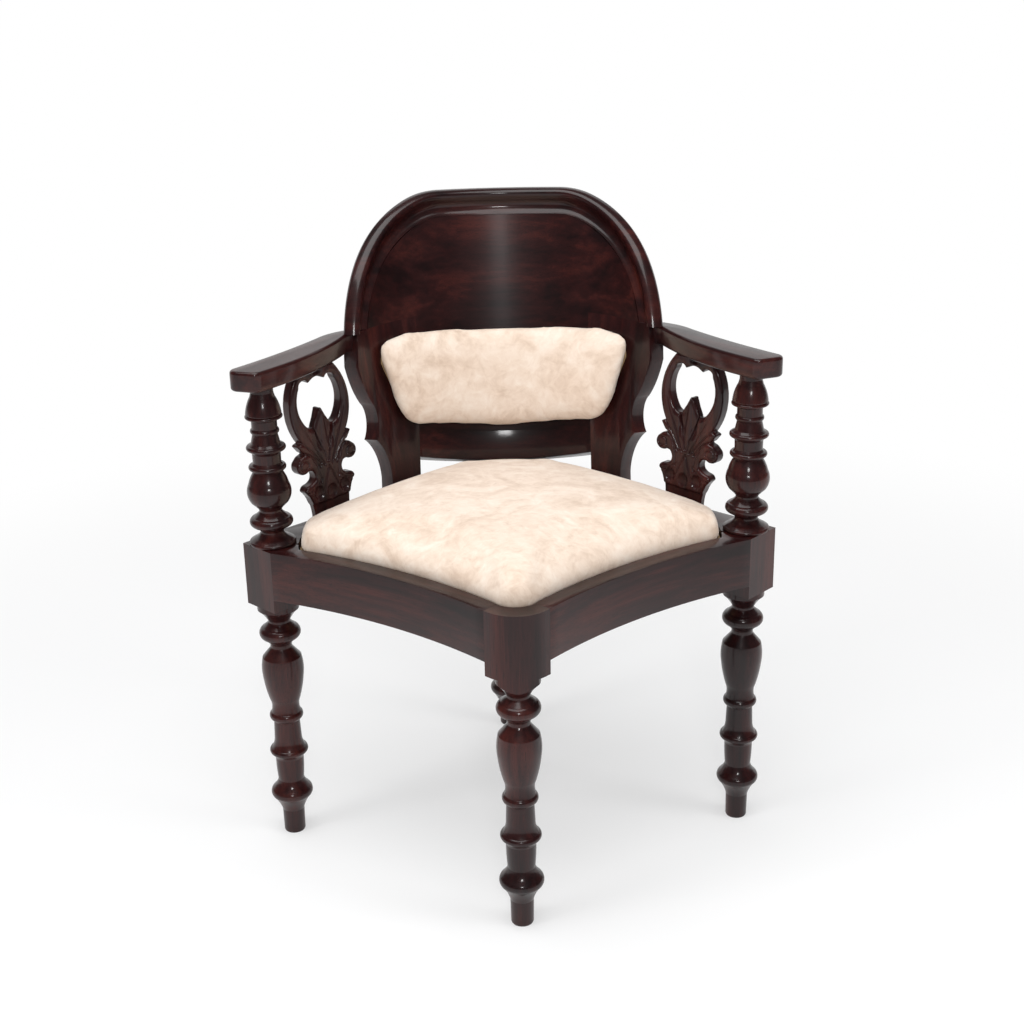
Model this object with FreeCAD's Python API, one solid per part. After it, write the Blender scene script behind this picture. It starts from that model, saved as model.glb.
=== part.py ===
import FreeCAD, Part
import math
import os
from FreeCAD import Vector

# A corner chair in millimetres: X across, Y towards the back, Z up, one leg at each corner of a kite.
# Left and right are as seen from the front. Plan sizes are measured from the line of the two side legs,
# and the whole chair is moved back at the end, so that the origin is the middle of its footprint.

# Plan and heights
SIDE_LEG_X = 318.0
FRONT_LEG_Y = -243.5
REAR_LEG_Y = 300.0
BLOCK = 57.0
BLOCK_BOTTOM = 355.0
RAIL_BOTTOM = 374.0
RAIL_TOP = 442.4
ARM_BOTTOM = 662.0
ARM_TOP = 689.0
NOSE_ROUND = 48.0
NOSE_BOTTOM = 332.0
LEG_WIDEST = 29.2

# Seat frame
FRONT_RAIL_THICK = 40.0
REAR_RAIL_THICK = 50.0
FRONT_RAIL_HOLLOW = 19.0
FRONT_RIM = 25.0
REAR_RIM = 37.0
SEAT_SIDE_X = 281.0
SEAT_NOSE_Y = -236.5
SEAT_NOSE_HALF = 28.0
SEAT_REAR_Y = 222.0
SEAT_REAR_HALF = 64.0
SEAT_REBATE = 20.0
TENON_LONG = 22.0
TENON_THICK = 12.0
TENON_TALL = 44.0
TENON_IN = 22.0

# Seat and corner blocks
SEAT_PLAY = 1.5
BOARD_THICK = 12.0
DUST_COVER_THICK = 1.0
DUST_COVER_INSET = 20.0
SEAT_CENTRE_Y = 5.0
CROWN = 60.0
DOME_RADIUS = 1225.0
SEAT_SIDE = [
    (4.0, 0.0), (1.0, 6.0), (0.0, 14.0), (0.6, 22.0), (2.6, 30.0), (6.5, 37.5), (12.5, 43.8), (22.0, 49.5),
    (40.0, 57.0), (90.0, 76.0),
]
CORNER_BLOCK_TALL = 32.0
CORNER_BLOCK_SIDE_X = 212.0
CORNER_BLOCK_FRONT_Y = -138.0
CORNER_BLOCK_REAR_Y = 196.0

# Back: a slice of an upright tube that leans back, with its sections counted from BACK_LEVEL
RECLINE = 14.0
BACK_AXIS_Y = 30.5
BACK_LEVEL = ARM_TOP
BACK_RADIUS = 232.0
STILE_THICK = 23.5
PANEL_THICK = 14.0
PAD_BOARD_THICK = 6.0
PAD_BOARD_INSET = 13.0
PAD_THICK = 30.0
PAD_TOP = 36.0
PAD_BOTTOM = -110.0
PAD_FOOT = -116.0
PAD_ROUNDED = 11.0
PAD_SHOULDER_ANGLE = 46.5
PAD_TOP_ANGLE = 51.2
PAD_FOOT_ANGLE = 42.2
PAD_HEEL_ANGLE = 34.5
ARCH_RISE = 231.0
ARCH_ARCS = [(1500.0, 3.3), (121.0, 24.0), (232.0, 62.7)]
ARCH_FOOT = 50.0
RIM_STATIONS = 19
RIM_WIDTH = 38.0
PANEL_PLAY = 0.3
TONGUE = 7.0
TONGUE_IN = 5.0
TONGUE_THICK = 6.0
RAIL_SEAM = -119.0
UNDERSIDE_LEVEL = -160.0
UNDERSIDE_SLOPE = 0.25
STILE_INNER_ANGLE = 32.0
STILE_OUTER_ANGLE = 60.2
SHELL_LOW = -240.0
SHELL_HIGH = 260.0

# Splats
SPLAT_FOOT_X = -244.8
SPLAT_FOOT_Y = 83.4
SPLAT_TOP_X = -260.8
SPLAT_TOP_Y = 82.1
SPLAT_TURN = 43.1
SPLAT_LEAN_ALONG = 3.3
SPLAT_LEAN_OUT = 2.6
SPLAT_THICK = 20.0

# Fasteners
DOWEL = 8.0
DOWEL_LONG = 30.0
SPLAT_DOWEL_APART = 36.0
STILE_DOWEL_ANGLES = (35.5, 41.0)
STILE_DOWEL_LEVEL = -208.0
ARM_DOWEL_LEVEL = 14.0
RIM_DOWEL_ANGLE = -56.5
RIM_DOWEL_LEVEL = 33.0
PAD_SCREW_ANGLE = 24.0
PAD_SCREW_LEVELS = (-80.0, 10.0)
SEAT_SCREW_IN = 22.0
SCREW = 4.0
SCREW_HEAD = 8.0
SEAT_SCREW_LONG = 40.0
BLOCK_SCREW_LONG = 65.0
PAD_SCREW_LONG = 18.0

BLOCK_REACH = BLOCK / math.sqrt(2.0)
NOSE_REACH = BLOCK_REACH - NOSE_ROUND * (math.sqrt(2.0) - 1.0)
MIDDLE_Y = (REAR_LEG_Y + BLOCK_REACH + FRONT_LEG_Y - LEG_WIDEST) / 2.0
SEAT_LEDGE = RAIL_TOP - SEAT_REBATE
UP = Vector(0, 0, 1)
ACROSS = Vector(1, 0, 0)
ORIGIN = Vector(0, 0, 0)

# Turnings, from the bottom up: (radius, height) is a straight run, and
# (radius, height, radius, height) is an arc through its first pair to its second
LEG_START = (14.0, 0.0)
LEG_TURNING = [
    (14.9, 2.0), (15.4, 35.5),
    (19.6, 46.5, 25.6, 56.3),
    (LEG_WIDEST, 64.0, 26.4, 70.2),
    (21.4, 76.0, 18.0, 84.0),
    (18.9, 95.0, 19.6, 118.5), (20.6, 121.6), (22.6, 125.0),
    (26.7, 130.3, 23.4, 134.8),
    (20.6, 140.4, 19.0, 149.0), (17.9, 176.4), (19.4, 178.4),
    (23.3, 184.4, 20.4, 190.4),
    (18.9, 197.5, 21.2, 211.0),
    (25.6, 229.0, 28.2, 247.0),
    (28.6, 262.0, 26.6, 274.6), (16.0, 287.4), (14.8, 289.4), (14.8, 294.2), (16.6, 297.0), (22.2, 302.4),
    (28.3, 311.1, 22.4, 320.0), (16.4, 325.6), (15.2, 327.4), (15.2, 330.4), (16.8, 333.0),
    (21.0, 339.4, 28.4, 347.2), (28.4, 356.0), (20.0, 360.0),
]
POST_START = (20.0, 438.0)
POST_TURNING = [
    (30.0, 442.4),
    (31.2, 445.0, 28.6, 448.0), (24.4, 450.8),
    (18.6, 454.6, 15.6, 458.6), (15.6, 460.6), (18.6, 464.6), (22.8, 467.4),
    (28.9, 473.8, 23.2, 480.4), (16.6, 486.4), (15.2, 488.6), (15.2, 491.2), (17.8, 494.4), (25.2, 501.8),
    (29.2, 512.0, 26.8, 527.0),
    (23.2, 537.0, 19.4, 543.6), (21.8, 546.4),
    (24.9, 550.0, 20.8, 553.8), (18.7, 556.8), (19.0, 569.4), (22.6, 573.6),
    (26.2, 576.9, 22.6, 580.4), (19.4, 583.2), (17.2, 592.8), (16.6, 596.2),
    (19.1, 599.9, 16.9, 603.6), (16.9, 614.4), (22.8, 617.4),
    (24.8, 619.4, 22.8, 621.6), (23.7, 623.8),
    (21.8, 633.4, 16.6, 646.0), (15.0, 652.0), (15.0, 662.0),
]
POST_TENON_RADIUS = 11.0
POST_TENON_TOP = 680.0


def mirrored(shape):
    """The same piece on the other side of the chair."""
    return shape.mirror(ORIGIN, ACROSS)


def arc(first, middle, last):
    return Part.Arc(first, middle, last).toShape()


def line(first, last):
    return Part.makeLine(first, last)


def solid_from(edges, travel):
    """Push a flat outline of edges along a vector."""
    return Part.Face(Part.Wire(edges)).extrude(travel)


def slab(low, high):
    """A wide level slab between two heights."""
    reach = 1000.0
    return Part.makeBox(2 * reach, 2 * reach, high - low, Vector(-reach, -reach, low))


def turned(start, steps):
    """A solid of revolution about Z from a start and its steps."""
    point = Vector(start[0], 0, start[1])
    foot = Vector(0, 0, start[1])
    edges = [line(foot, point)]
    for step in steps:
        last = Vector(step[-2], 0, step[-1])
        if len(step) == 2:
            edges.append(line(point, last))
        else:
            edges.append(arc(point, Vector(step[0], 0, step[1]), last))
        point = last
    top = Vector(0, 0, point.z)
    edges += [line(point, top), line(top, foot)]
    return Part.Face(Part.Wire(edges)).revolve(ORIGIN, UP, 360)


# Legs

def leg_block():
    block = Part.makeBox(BLOCK, BLOCK, RAIL_TOP - BLOCK_BOTTOM, Vector(-BLOCK / 2, -BLOCK / 2, BLOCK_BOTTOM))
    block.rotate(ORIGIN, UP, 45)
    return block


def short_leg():
    """A leg that ends at the top of the seat frame."""
    return turned(LEG_START, LEG_TURNING).fuse(leg_block()).removeSplitter()


def arm_leg():
    """A leg that carries on above the seat frame and ends in a round tenon inside the arm."""
    post = turned(POST_START, POST_TURNING)
    low = ARM_BOTTOM - 2.0
    tenon = Part.makeCylinder(POST_TENON_RADIUS, POST_TENON_TOP - low, Vector(0, 0, low))
    return short_leg().fuse([post, tenon]).removeSplitter()


def nose_waste():
    """What is planed off the front corner of the front leg to round it."""
    along = NOSE_ROUND / math.sqrt(2.0)
    out = 60.0 / math.sqrt(2.0)
    low = NOSE_BOTTOM
    left = Vector(-along, along - BLOCK_REACH, low)
    right = Vector(along, along - BLOCK_REACH, low)
    nose = Vector(0, -NOSE_REACH, low)
    far_right = right + Vector(out, -out, 0)
    far_left = left + Vector(-out, -out, 0)
    edges = [
        arc(left, nose, right),
        line(right, far_right),
        line(far_right, far_left),
        line(far_left, left),
    ]
    return solid_from(edges, Vector(0, 0, RAIL_TOP - low + 1))


def front_leg_shape():
    leg = short_leg().cut(nose_waste())
    leg.translate(Vector(0, FRONT_LEG_Y, 0))
    return leg


def rear_leg_shape():
    leg = short_leg()
    leg.translate(Vector(0, REAR_LEG_Y, 0))
    return leg


def left_leg_shape():
    leg = arm_leg()
    leg.translate(Vector(-SIDE_LEG_X, 0, 0))
    return leg


# Rails

FRONT_OUT_SIDE = Vector(-SIDE_LEG_X, -BLOCK_REACH, 0)
FRONT_OUT_NOSE = Vector(-BLOCK_REACH, FRONT_LEG_Y, 0)
FRONT_CHORD = FRONT_OUT_NOSE.sub(FRONT_OUT_SIDE)
FRONT_RADIUS = FRONT_CHORD.Length ** 2 / (8 * FRONT_RAIL_HOLLOW) + FRONT_RAIL_HOLLOW / 2
FRONT_OUTWARD = Vector(FRONT_CHORD.y, -FRONT_CHORD.x, 0).normalize()
FRONT_CENTRE = (FRONT_OUT_SIDE + FRONT_OUT_NOSE) * 0.5 + FRONT_OUTWARD * (FRONT_RADIUS - FRONT_RAIL_HOLLOW)
REAR_OUT_SIDE = Vector(-SIDE_LEG_X, BLOCK_REACH, 0)
REAR_OUT_BACK = Vector(-BLOCK_REACH, REAR_LEG_Y, 0)
REAR_ALONG = REAR_OUT_BACK.sub(REAR_OUT_SIDE).normalize()
REAR_INWARD = Vector(REAR_ALONG.y, -REAR_ALONG.x, 0)


def tenon(face_point, into):
    """A rail's tenon: it starts on the face of the leg block and points into the block."""
    side = Vector(-into.y, into.x, 0)
    low = (RAIL_BOTTOM + SEAT_LEDGE) / 2 - TENON_TALL / 2
    first = face_point + side * (-TENON_THICK / 2) + Vector(0, 0, low)
    second = first + side * TENON_THICK
    edges = [
        line(first, second),
        line(second, second + into * TENON_LONG),
        line(second + into * TENON_LONG, first + into * TENON_LONG),
        line(first + into * TENON_LONG, first),
    ]
    return solid_from(edges, Vector(0, 0, TENON_TALL))


def between_blocks(near, far, turn):
    """The space between two faces that stand at 45 degrees, at these distances from the origin."""
    reach = 600.0
    box = Part.makeBox(far - near, 2 * reach, RAIL_TOP - RAIL_BOTTOM, Vector(near, -reach, RAIL_BOTTOM))
    box.rotate(ORIGIN, UP, turn)
    return box


def front_rail_shape():
    """The left front rail: hollow on its outer face, with a tenon at each end."""
    height = RAIL_TOP - RAIL_BOTTOM
    base = FRONT_CENTRE + Vector(0, 0, RAIL_BOTTOM)
    ring = Part.makeCylinder(FRONT_RADIUS + FRONT_RAIL_THICK, height, base)
    ring = ring.cut(Part.makeCylinder(FRONT_RADIUS, height, base))
    diagonal = 1.0 / math.sqrt(2.0)
    near = (BLOCK_REACH - SIDE_LEG_X) * diagonal
    far = (-BLOCK_REACH - FRONT_LEG_Y) * diagonal
    rail = ring.common(between_blocks(near, far, -45))
    into_side = Vector(-diagonal, diagonal, 0)
    into_nose = Vector(diagonal, -diagonal, 0)
    along_face = Vector(diagonal, diagonal, 0)
    side_tenon = tenon(FRONT_OUT_SIDE + along_face * TENON_IN, into_side)
    nose_tenon = tenon(FRONT_OUT_NOSE + along_face * TENON_IN, into_nose)
    return rail.fuse([side_tenon, nose_tenon]).removeSplitter()


def rear_rail_shape():
    """The left rear rail: a straight board with a tenon at each end."""
    length = 600.0
    start = REAR_OUT_SIDE - REAR_ALONG * 100.0 + Vector(0, 0, RAIL_BOTTOM)
    end = start + REAR_ALONG * length
    inward = REAR_INWARD * REAR_RAIL_THICK
    edges = [
        line(start, end),
        line(end, end + inward),
        line(end + inward, start + inward),
        line(start + inward, start),
    ]
    board = solid_from(edges, Vector(0, 0, RAIL_TOP - RAIL_BOTTOM))
    diagonal = 1.0 / math.sqrt(2.0)
    near = (BLOCK_REACH - SIDE_LEG_X) * diagonal
    far = (REAR_LEG_Y - BLOCK_REACH) * diagonal
    rail = board.common(between_blocks(near, far, 45))
    into_side = Vector(-diagonal, -diagonal, 0)
    into_back = Vector(diagonal, diagonal, 0)
    along_face = Vector(diagonal, -diagonal, 0)
    side_tenon = tenon(REAR_OUT_SIDE + along_face * (TENON_IN + 3), into_side)
    back_tenon = tenon(REAR_OUT_BACK + along_face * (TENON_IN + 3), into_back)
    return rail.fuse([side_tenon, back_tenon]).removeSplitter()


# Seat

def front_edge_y(x, inset):
    """Where the inner edge of the front rim, moved in by inset, crosses a line of constant X."""
    radius = FRONT_RADIUS + FRONT_RIM + inset
    across = -abs(x) - FRONT_CENTRE.x
    return FRONT_CENTRE.y + math.sqrt(radius ** 2 - across ** 2)


def rear_edge_y(x, inset):
    """Where the inner edge of the rear rim, moved in by inset, crosses a line of constant X."""
    start = REAR_OUT_SIDE + REAR_INWARD * (REAR_RIM + inset)
    return start.y + (-abs(x) - start.x) * REAR_ALONG.y / REAR_ALONG.x


def seat_wire(inset, height, scale=1.0):
    """The seat's outline: two hollow front edges, a round nose, two straight rear edges, cut corners."""
    side = SEAT_SIDE_X - inset
    nose = SEAT_NOSE_HALF

    def at(x, y):
        return Vector(x * scale, SEAT_CENTRE_Y + (y - SEAT_CENTRE_Y) * scale, height)

    middle = (side + nose) / 2
    back_middle = (side + SEAT_REAR_HALF) / 2
    front_side = front_edge_y(side, inset)
    rear_side = rear_edge_y(side, inset)
    edges = []
    edges.append(arc(at(-side, front_side), at(-middle, front_edge_y(middle, inset)),
                     at(-nose, front_edge_y(nose, inset))))
    edges.append(arc(at(-nose, front_edge_y(nose, inset)), at(0, SEAT_NOSE_Y + inset),
                     at(nose, front_edge_y(nose, inset))))
    edges.append(arc(at(nose, front_edge_y(nose, inset)), at(middle, front_edge_y(middle, inset)),
                     at(side, front_side)))
    edges.append(arc(at(side, front_side), at(side + 2.5, (front_side + rear_side) / 2), at(side, rear_side)))
    edges.append(line(at(side, rear_side), at(SEAT_REAR_HALF, rear_edge_y(SEAT_REAR_HALF, inset))))
    edges.append(arc(at(SEAT_REAR_HALF, rear_edge_y(SEAT_REAR_HALF, inset)), at(0, SEAT_REAR_Y - inset),
                     at(-SEAT_REAR_HALF, rear_edge_y(SEAT_REAR_HALF, inset))))
    edges.append(line(at(-SEAT_REAR_HALF, rear_edge_y(SEAT_REAR_HALF, inset)), at(-side, rear_side)))
    edges.append(arc(at(-side, rear_side), at(-side - 2.5, (front_side + rear_side) / 2),
                     at(-side, front_side)))
    return Part.Wire(edges)


def seat_plate(inset, low, high):
    return Part.Face(seat_wire(inset, low)).extrude(Vector(0, 0, high - low))


def seat_opening():
    """The rebate that the drop-in seat sits in."""
    return seat_plate(0.0, SEAT_LEDGE, RAIL_TOP + 1)


def seat_cushion_shape():
    """The crowned seat: sides drawn in below the rim, a soft shoulder all round and a domed top."""
    low = SEAT_LEDGE + BOARD_THICK
    wires = [seat_wire(SEAT_PLAY + drawn_in, low + rise) for drawn_in, rise in SEAT_SIDE]
    body = Part.makeLoft(wires, True, True)
    dome_centre = Vector(0, SEAT_CENTRE_Y, RAIL_TOP + CROWN - DOME_RADIUS)
    return body.common(Part.makeSphere(DOME_RADIUS, dome_centre))


def inside_frame(low, high):
    """The space inside the rails, ahead of the corner blocks."""
    start = REAR_OUT_SIDE + REAR_INWARD * REAR_RAIL_THICK
    end = start + REAR_ALONG * 600.0
    corner = Vector(0, start.y + (0 - start.x) * REAR_ALONG.y / REAR_ALONG.x, low)
    left = Vector(start.x - 20.0, start.y - 20.0 * REAR_ALONG.y / REAR_ALONG.x, low)
    right = Vector(-left.x, left.y, low)
    front = Vector(0, FRONT_LEG_Y - 120.0, low)
    edges = [line(corner, left), line(left, front), line(front, right), line(right, corner)]
    space = solid_from(edges, Vector(0, 0, high - low))
    ring = Part.makeCylinder(FRONT_RADIUS + FRONT_RAIL_THICK, high - low, FRONT_CENTRE + Vector(0, 0, low))
    return space.cut(ring).cut(mirrored(ring))


def corner_block_shapes():
    """Four glue blocks that brace the frame's corners and carry the seat screws."""
    high = SEAT_LEDGE - DUST_COVER_THICK
    low = high - CORNER_BLOCK_TALL
    space = inside_frame(low, high)
    reach = 500.0

    def zone(x, y, wide, deep):
        return Part.makeBox(wide, deep, high - low, Vector(x, y, low))

    zones = {
        "left_corner_block": zone(-reach - CORNER_BLOCK_SIDE_X, -reach, reach, 2 * reach),
        "right_corner_block": zone(CORNER_BLOCK_SIDE_X, -reach, reach, 2 * reach),
        "front_corner_block": zone(-reach, CORNER_BLOCK_FRONT_Y - reach, 2 * reach, reach),
        "rear_corner_block": zone(-reach, CORNER_BLOCK_REAR_Y, 2 * reach, reach),
    }
    leg_blocks = []
    for x, y in ((-SIDE_LEG_X, 0.0), (SIDE_LEG_X, 0.0), (0.0, FRONT_LEG_Y), (0.0, REAR_LEG_Y)):
        leg_blocks.append(leg_block().translated(Vector(x, y, 0)))
    blocks = {name: space.common(part).cut(leg_blocks) for name, part in zones.items()}

    # The rear block also fills the frame's top behind the seat's cut corner
    behind = Part.makeBox(2 * reach, reach, RAIL_TOP - high, Vector(-reach, CORNER_BLOCK_REAR_Y, high))
    filler = inside_frame(high, RAIL_TOP).common(behind).cut(leg_blocks)
    filler = filler.cut(seat_plate(0.0, high, RAIL_TOP))
    blocks["rear_corner_block"] = blocks["rear_corner_block"].fuse(filler).removeSplitter()
    return blocks


# Back

def back_point(radius, angle, level):
    """A point of the leaning tube: its radius, its angle from the middle in degrees, its height along it."""
    lean = math.radians(RECLINE)
    turn = math.radians(angle)
    across = radius * math.sin(turn)
    depth = radius * math.cos(turn)
    return Vector(across, BACK_AXIS_Y + level * math.sin(lean) + depth * math.cos(lean),
                  BACK_LEVEL + level * math.cos(lean) - depth * math.sin(lean))


def lean_back(shape):
    """Turn and move a shape made about an upright Z axis into the back's place."""
    shape.rotate(ORIGIN, ACROSS, -RECLINE)
    shape.translate(Vector(0, BACK_AXIS_Y, BACK_LEVEL))
    return shape


def shell(inner, outer, low, high):
    """A ring of the tube, still upright, between two radii and two levels."""
    base = Vector(0, 0, low)
    return Part.makeCylinder(outer, high - low, base).cut(Part.makeCylinder(inner, high - low, base))


def angle_wire(outline, depth):
    """An outline of (angle, level) corners and 4-number arcs, drawn on the upright plane at this depth."""
    def at(angle, level):
        return Vector(depth * math.tan(math.radians(angle)), depth, level)

    point = at(*outline[0])
    edges = []
    closing = [] if outline[-1][-2:] == outline[0] else [outline[0]]
    for step in outline[1:] + closing:
        last = at(step[-2], step[-1])
        if len(step) == 2:
            edges.append(line(point, last))
        else:
            edges.append(arc(point, at(step[0], step[1]), last))
        point = last
    return Part.Wire(edges)


def cut_from_shell(outline, inner, outer):
    """What a saw that always points at the tube's axis leaves of the shell inside an outline."""
    wedge = Part.makeLoft([angle_wire(outline, 60.0), angle_wire(outline, 330.0)], True, True)
    return wedge.common(shell(inner, outer, SHELL_LOW, SHELL_HIGH))


def arch_length():
    """The length of half of the rim's outer line, from the middle of its top to its foot."""
    return sum(radius * math.radians(sweep) for radius, sweep in ARCH_ARCS) + ARCH_FOOT


def arch_station(run):
    """Where the rim's outer line is, this far along it from the middle of its top (minus to the left).

    Gives the distance along the surface, the level and the direction out of the arch.
    """
    left = abs(run)
    along = 0.0
    level = ARCH_RISE
    heading = 0.0
    for radius, sweep in ARCH_ARCS:
        part = min(left / radius, math.radians(sweep))
        along += radius * (math.sin(heading + part) - math.sin(heading))
        level -= radius * (math.cos(heading) - math.cos(heading + part))
        heading += part
        left -= radius * part
    level -= left
    side = math.copysign(1.0, run)
    return side * along, level, side * math.sin(heading), math.cos(heading)


def arch_runs(count):
    """Evenly spaced runs from one foot of the rim to the other."""
    return [arch_length() * (2.0 * i / (count - 1) - 1.0) for i in range(count)]


def rim_section(run):
    """The rolled rim: a bead in front, a cove down to the panel, a thinner bead behind."""
    along, level, out_along, out_level = arch_station(run)

    def at(out, radius):
        angle = math.degrees((along + out * out_along) / BACK_RADIUS)
        return back_point(radius, angle, level + out * out_level)

    front = BACK_RADIUS
    back = BACK_RADIUS + STILE_THICK
    edge = at(0.0, front + 8.0)
    bead_end = at(-18.0, front - 1.0)
    inner_front = at(-RIM_WIDTH, front)
    inner_back = at(-RIM_WIDTH, front + PANEL_THICK + 1.0)
    back_start = at(-24.0, back - 2.0)
    edges = [
        arc(edge, at(-7.0, front - 7.5), bead_end),
        arc(bead_end, at(-28.0, front + 3.0), inner_front),
        line(inner_front, inner_back),
        line(inner_back, back_start),
        arc(back_start, at(-8.5, back - 6.5), edge),
    ]
    return Part.Wire(edges)


def rim_shape():
    loft = Part.makeLoft([rim_section(run) for run in arch_runs(RIM_STATIONS)], True, False)
    return loft.cut(slab(0.0, ARM_TOP))


STILE_OUTLINE = [
    (STILE_INNER_ANGLE, 90.0), (STILE_INNER_ANGLE, SHELL_LOW + 10), (44.4, SHELL_LOW + 10), (44.4, -178.0),
    (45.6, -150.0, 51.5, -121.5),
    (50.3, -100.0, 53.0, -70.0),
    (57.4, -45.0, STILE_OUTER_ANGLE, -18.0), (STILE_OUTER_ANGLE, 90.0),
]


def left_stile_shape():
    """One of the two sawn stiles that stand on the rear rails and reach up to the top of the arms."""
    stile = lean_back(cut_from_shell(STILE_OUTLINE, BACK_RADIUS, BACK_RADIUS + STILE_THICK))
    stile = stile.common(slab(RAIL_TOP, ARM_TOP))
    return mirrored(stile)


def arch_outline(inset):
    """The rim's outer line moved in, as an outline of arcs with a straight run at each foot."""
    def at(run):
        along, level, out_along, out_level = arch_station(run)
        return math.degrees((along - out_along * inset) / BACK_RADIUS), level - out_level * inset

    joints = [0.0]
    for radius, sweep in ARCH_ARCS:
        half = radius * math.radians(sweep) / 2
        joints += [joints[-1] + half, joints[-1] + 2 * half]
    runs = [-run for run in reversed(joints)] + joints[1:]
    outline = [at(-arch_length()), at(runs[0])]
    for before, after in zip(runs, runs[1:]):
        outline.append(at((before + after) / 2) + at(after))
    outline.append(at(arch_length()))
    return outline


def panel_shape():
    """The thin curved board that fills the arch on a tongue and comes down between the stiles."""
    front = BACK_RADIUS
    field = cut_from_shell(arch_outline(RIM_WIDTH + PANEL_PLAY), front, front + PANEL_THICK)
    groove = front + TONGUE_IN
    tongue = cut_from_shell(arch_outline(RIM_WIDTH - TONGUE), groove, groove + TONGUE_THICK)
    upper = lean_back(field.fuse(tongue)).cut(slab(0, ARM_TOP))
    side = STILE_INNER_ANGLE
    outline = [(-side, RAIL_SEAM), (side, RAIL_SEAM), (side, 90.0), (-side, 90.0)]
    middle = lean_back(cut_from_shell(outline, front, front + PANEL_THICK))
    return upper.fuse(middle).removeSplitter()


def underside_waste():
    """What is sawn off below the back's bottom rail: a plane that drops towards the rear."""
    near = Vector(-400, 0, UNDERSIDE_LEVEL + UNDERSIDE_SLOPE * BACK_RADIUS)
    far = Vector(-400, 500, UNDERSIDE_LEVEL - UNDERSIDE_SLOPE * (500 - BACK_RADIUS))
    low_far = Vector(-400, 500, -600)
    low_near = Vector(-400, 0, -600)
    edges = [line(near, far), line(far, low_far), line(low_far, low_near), line(low_near, near)]
    return solid_from(edges, Vector(800, 0, 0))


def bottom_rail_shape():
    side = STILE_INNER_ANGLE
    outline = [(-side, SHELL_LOW + 10), (side, SHELL_LOW + 10), (side, RAIL_SEAM), (-side, RAIL_SEAM)]
    rail = cut_from_shell(outline, BACK_RADIUS, BACK_RADIUS + STILE_THICK)
    return lean_back(rail.cut(underside_waste()))


def pad_outline(inset):
    """The pad's outline on the tube: a wide top and a narrower foot with rounded corners."""
    step = math.degrees(inset / BACK_RADIUS)
    top = PAD_TOP - inset
    foot = PAD_BOTTOM + inset
    shoulder = PAD_SHOULDER_ANGLE - step
    side_top = PAD_TOP_ANGLE - step
    side_foot = PAD_FOOT_ANGLE - step
    heel = PAD_HEEL_ANGLE - step
    return [
        (-shoulder, top - PAD_ROUNDED),
        (0.0, top + 4.0, shoulder, top - PAD_ROUNDED),
        (50.6 - step, top - 19.0, side_top, top - 38.0), (side_foot, foot + 22.0),
        (40.6 - step, foot + 6.0, heel, foot + 3.0),
        (0.0, foot - 3.0, -heel, foot + 3.0),
        (step - 40.6, foot + 6.0, -side_foot, foot + 22.0), (-side_top, top - 38.0),
        (step - 50.6, top - 19.0, -shoulder, top - PAD_ROUNDED),
    ]


def pad_board_shape():
    board = cut_from_shell(pad_outline(PAD_BOARD_INSET), BACK_RADIUS - PAD_BOARD_THICK, BACK_RADIUS)
    return lean_back(board)


def pad_section(angle, fullness):
    """One upright slice of the pad: flat behind, a round shoulder above and below, a crowned front."""
    across = abs(angle)
    foot = PAD_FOOT + 8.0 * (min(across, 38.0) / 37.0) ** 2 + 1.5 * max(0.0, across - 38.0) ** 1.6
    top = PAD_TOP + 1.0 - 6.0 * (across / 42.0) ** 6
    behind = BACK_RADIUS - PAD_BOARD_THICK + 1.0
    front = behind - (PAD_THICK - PAD_BOARD_THICK) * fullness
    shoulder = behind - 0.55 * (behind - front)
    draw = 9.0 * fullness
    a = back_point(behind, angle, foot + draw / 2)
    b = back_point(shoulder, angle, foot)
    c = back_point(front + 2.0 * fullness, angle, foot + 1.6 * draw)
    d = back_point(front + 2.0 * fullness, angle, top - 1.6 * draw)
    e = back_point(shoulder, angle, top)
    f = back_point(behind, angle, top - draw / 2)
    lower = back_point(front + 5.5 * fullness, angle, foot + 0.35 * draw)
    upper = back_point(front + 5.5 * fullness, angle, top - 0.35 * draw)
    swell = back_point(front, angle, (foot + top) / 2)
    edges = [line(a, b), arc(b, lower, c), arc(c, swell, d), arc(d, upper, e), line(e, f), line(f, a)]
    return Part.Wire(edges)


def pad_shape():
    """The upholstered back pad as a soft form, thinner towards its ends."""
    slices = [
        (-52.5, 0.34), (-50.0, 0.66), (-45.5, 0.88), (-40.0, 0.96), (-28.0, 1.0), (-12.0, 1.0),
        (12.0, 1.0), (28.0, 1.0), (40.0, 0.96), (45.5, 0.88), (50.0, 0.66), (52.5, 0.34),
    ]
    pad = Part.makeLoft([pad_section(angle, fullness) for angle, fullness in slices], True, False)
    room = Part.makeCylinder(BACK_RADIUS - PAD_BOARD_THICK, SHELL_HIGH - SHELL_LOW, Vector(0, 0, SHELL_LOW))
    return pad.common(lean_back(room))


# Arms

def left_arm_blank():
    """The left arm before it meets the back: a waisted board with rounded front corners."""
    low = Vector(0, 0, ARM_BOTTOM)

    def at(x, y):
        return Vector(-x, y, 0) + low

    edges = [
        arc(at(352.0, -16.0), at(301.5, 54.0), at(258.0, 127.0)),
        arc(at(258.0, 127.0), at(243.5, 150.0), at(221.0, 169.0)),
        line(at(221.0, 169.0), at(198.0, 156.0)),
        arc(at(198.0, 156.0), at(209.0, 149.0), at(217.5, 137.0)),
        arc(at(217.5, 137.0), at(256.5, 42.0), at(311.0, -37.0)),
        arc(at(311.0, -37.0), at(319.5, -43.0), at(327.0, -42.0)),
        line(at(327.0, -42.0), at(350.0, -33.0)),
        arc(at(350.0, -33.0), at(354.5, -25.0), at(352.0, -16.0)),
    ]
    return solid_from(edges, Vector(0, 0, ARM_TOP - ARM_BOTTOM))


# Splats

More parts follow.
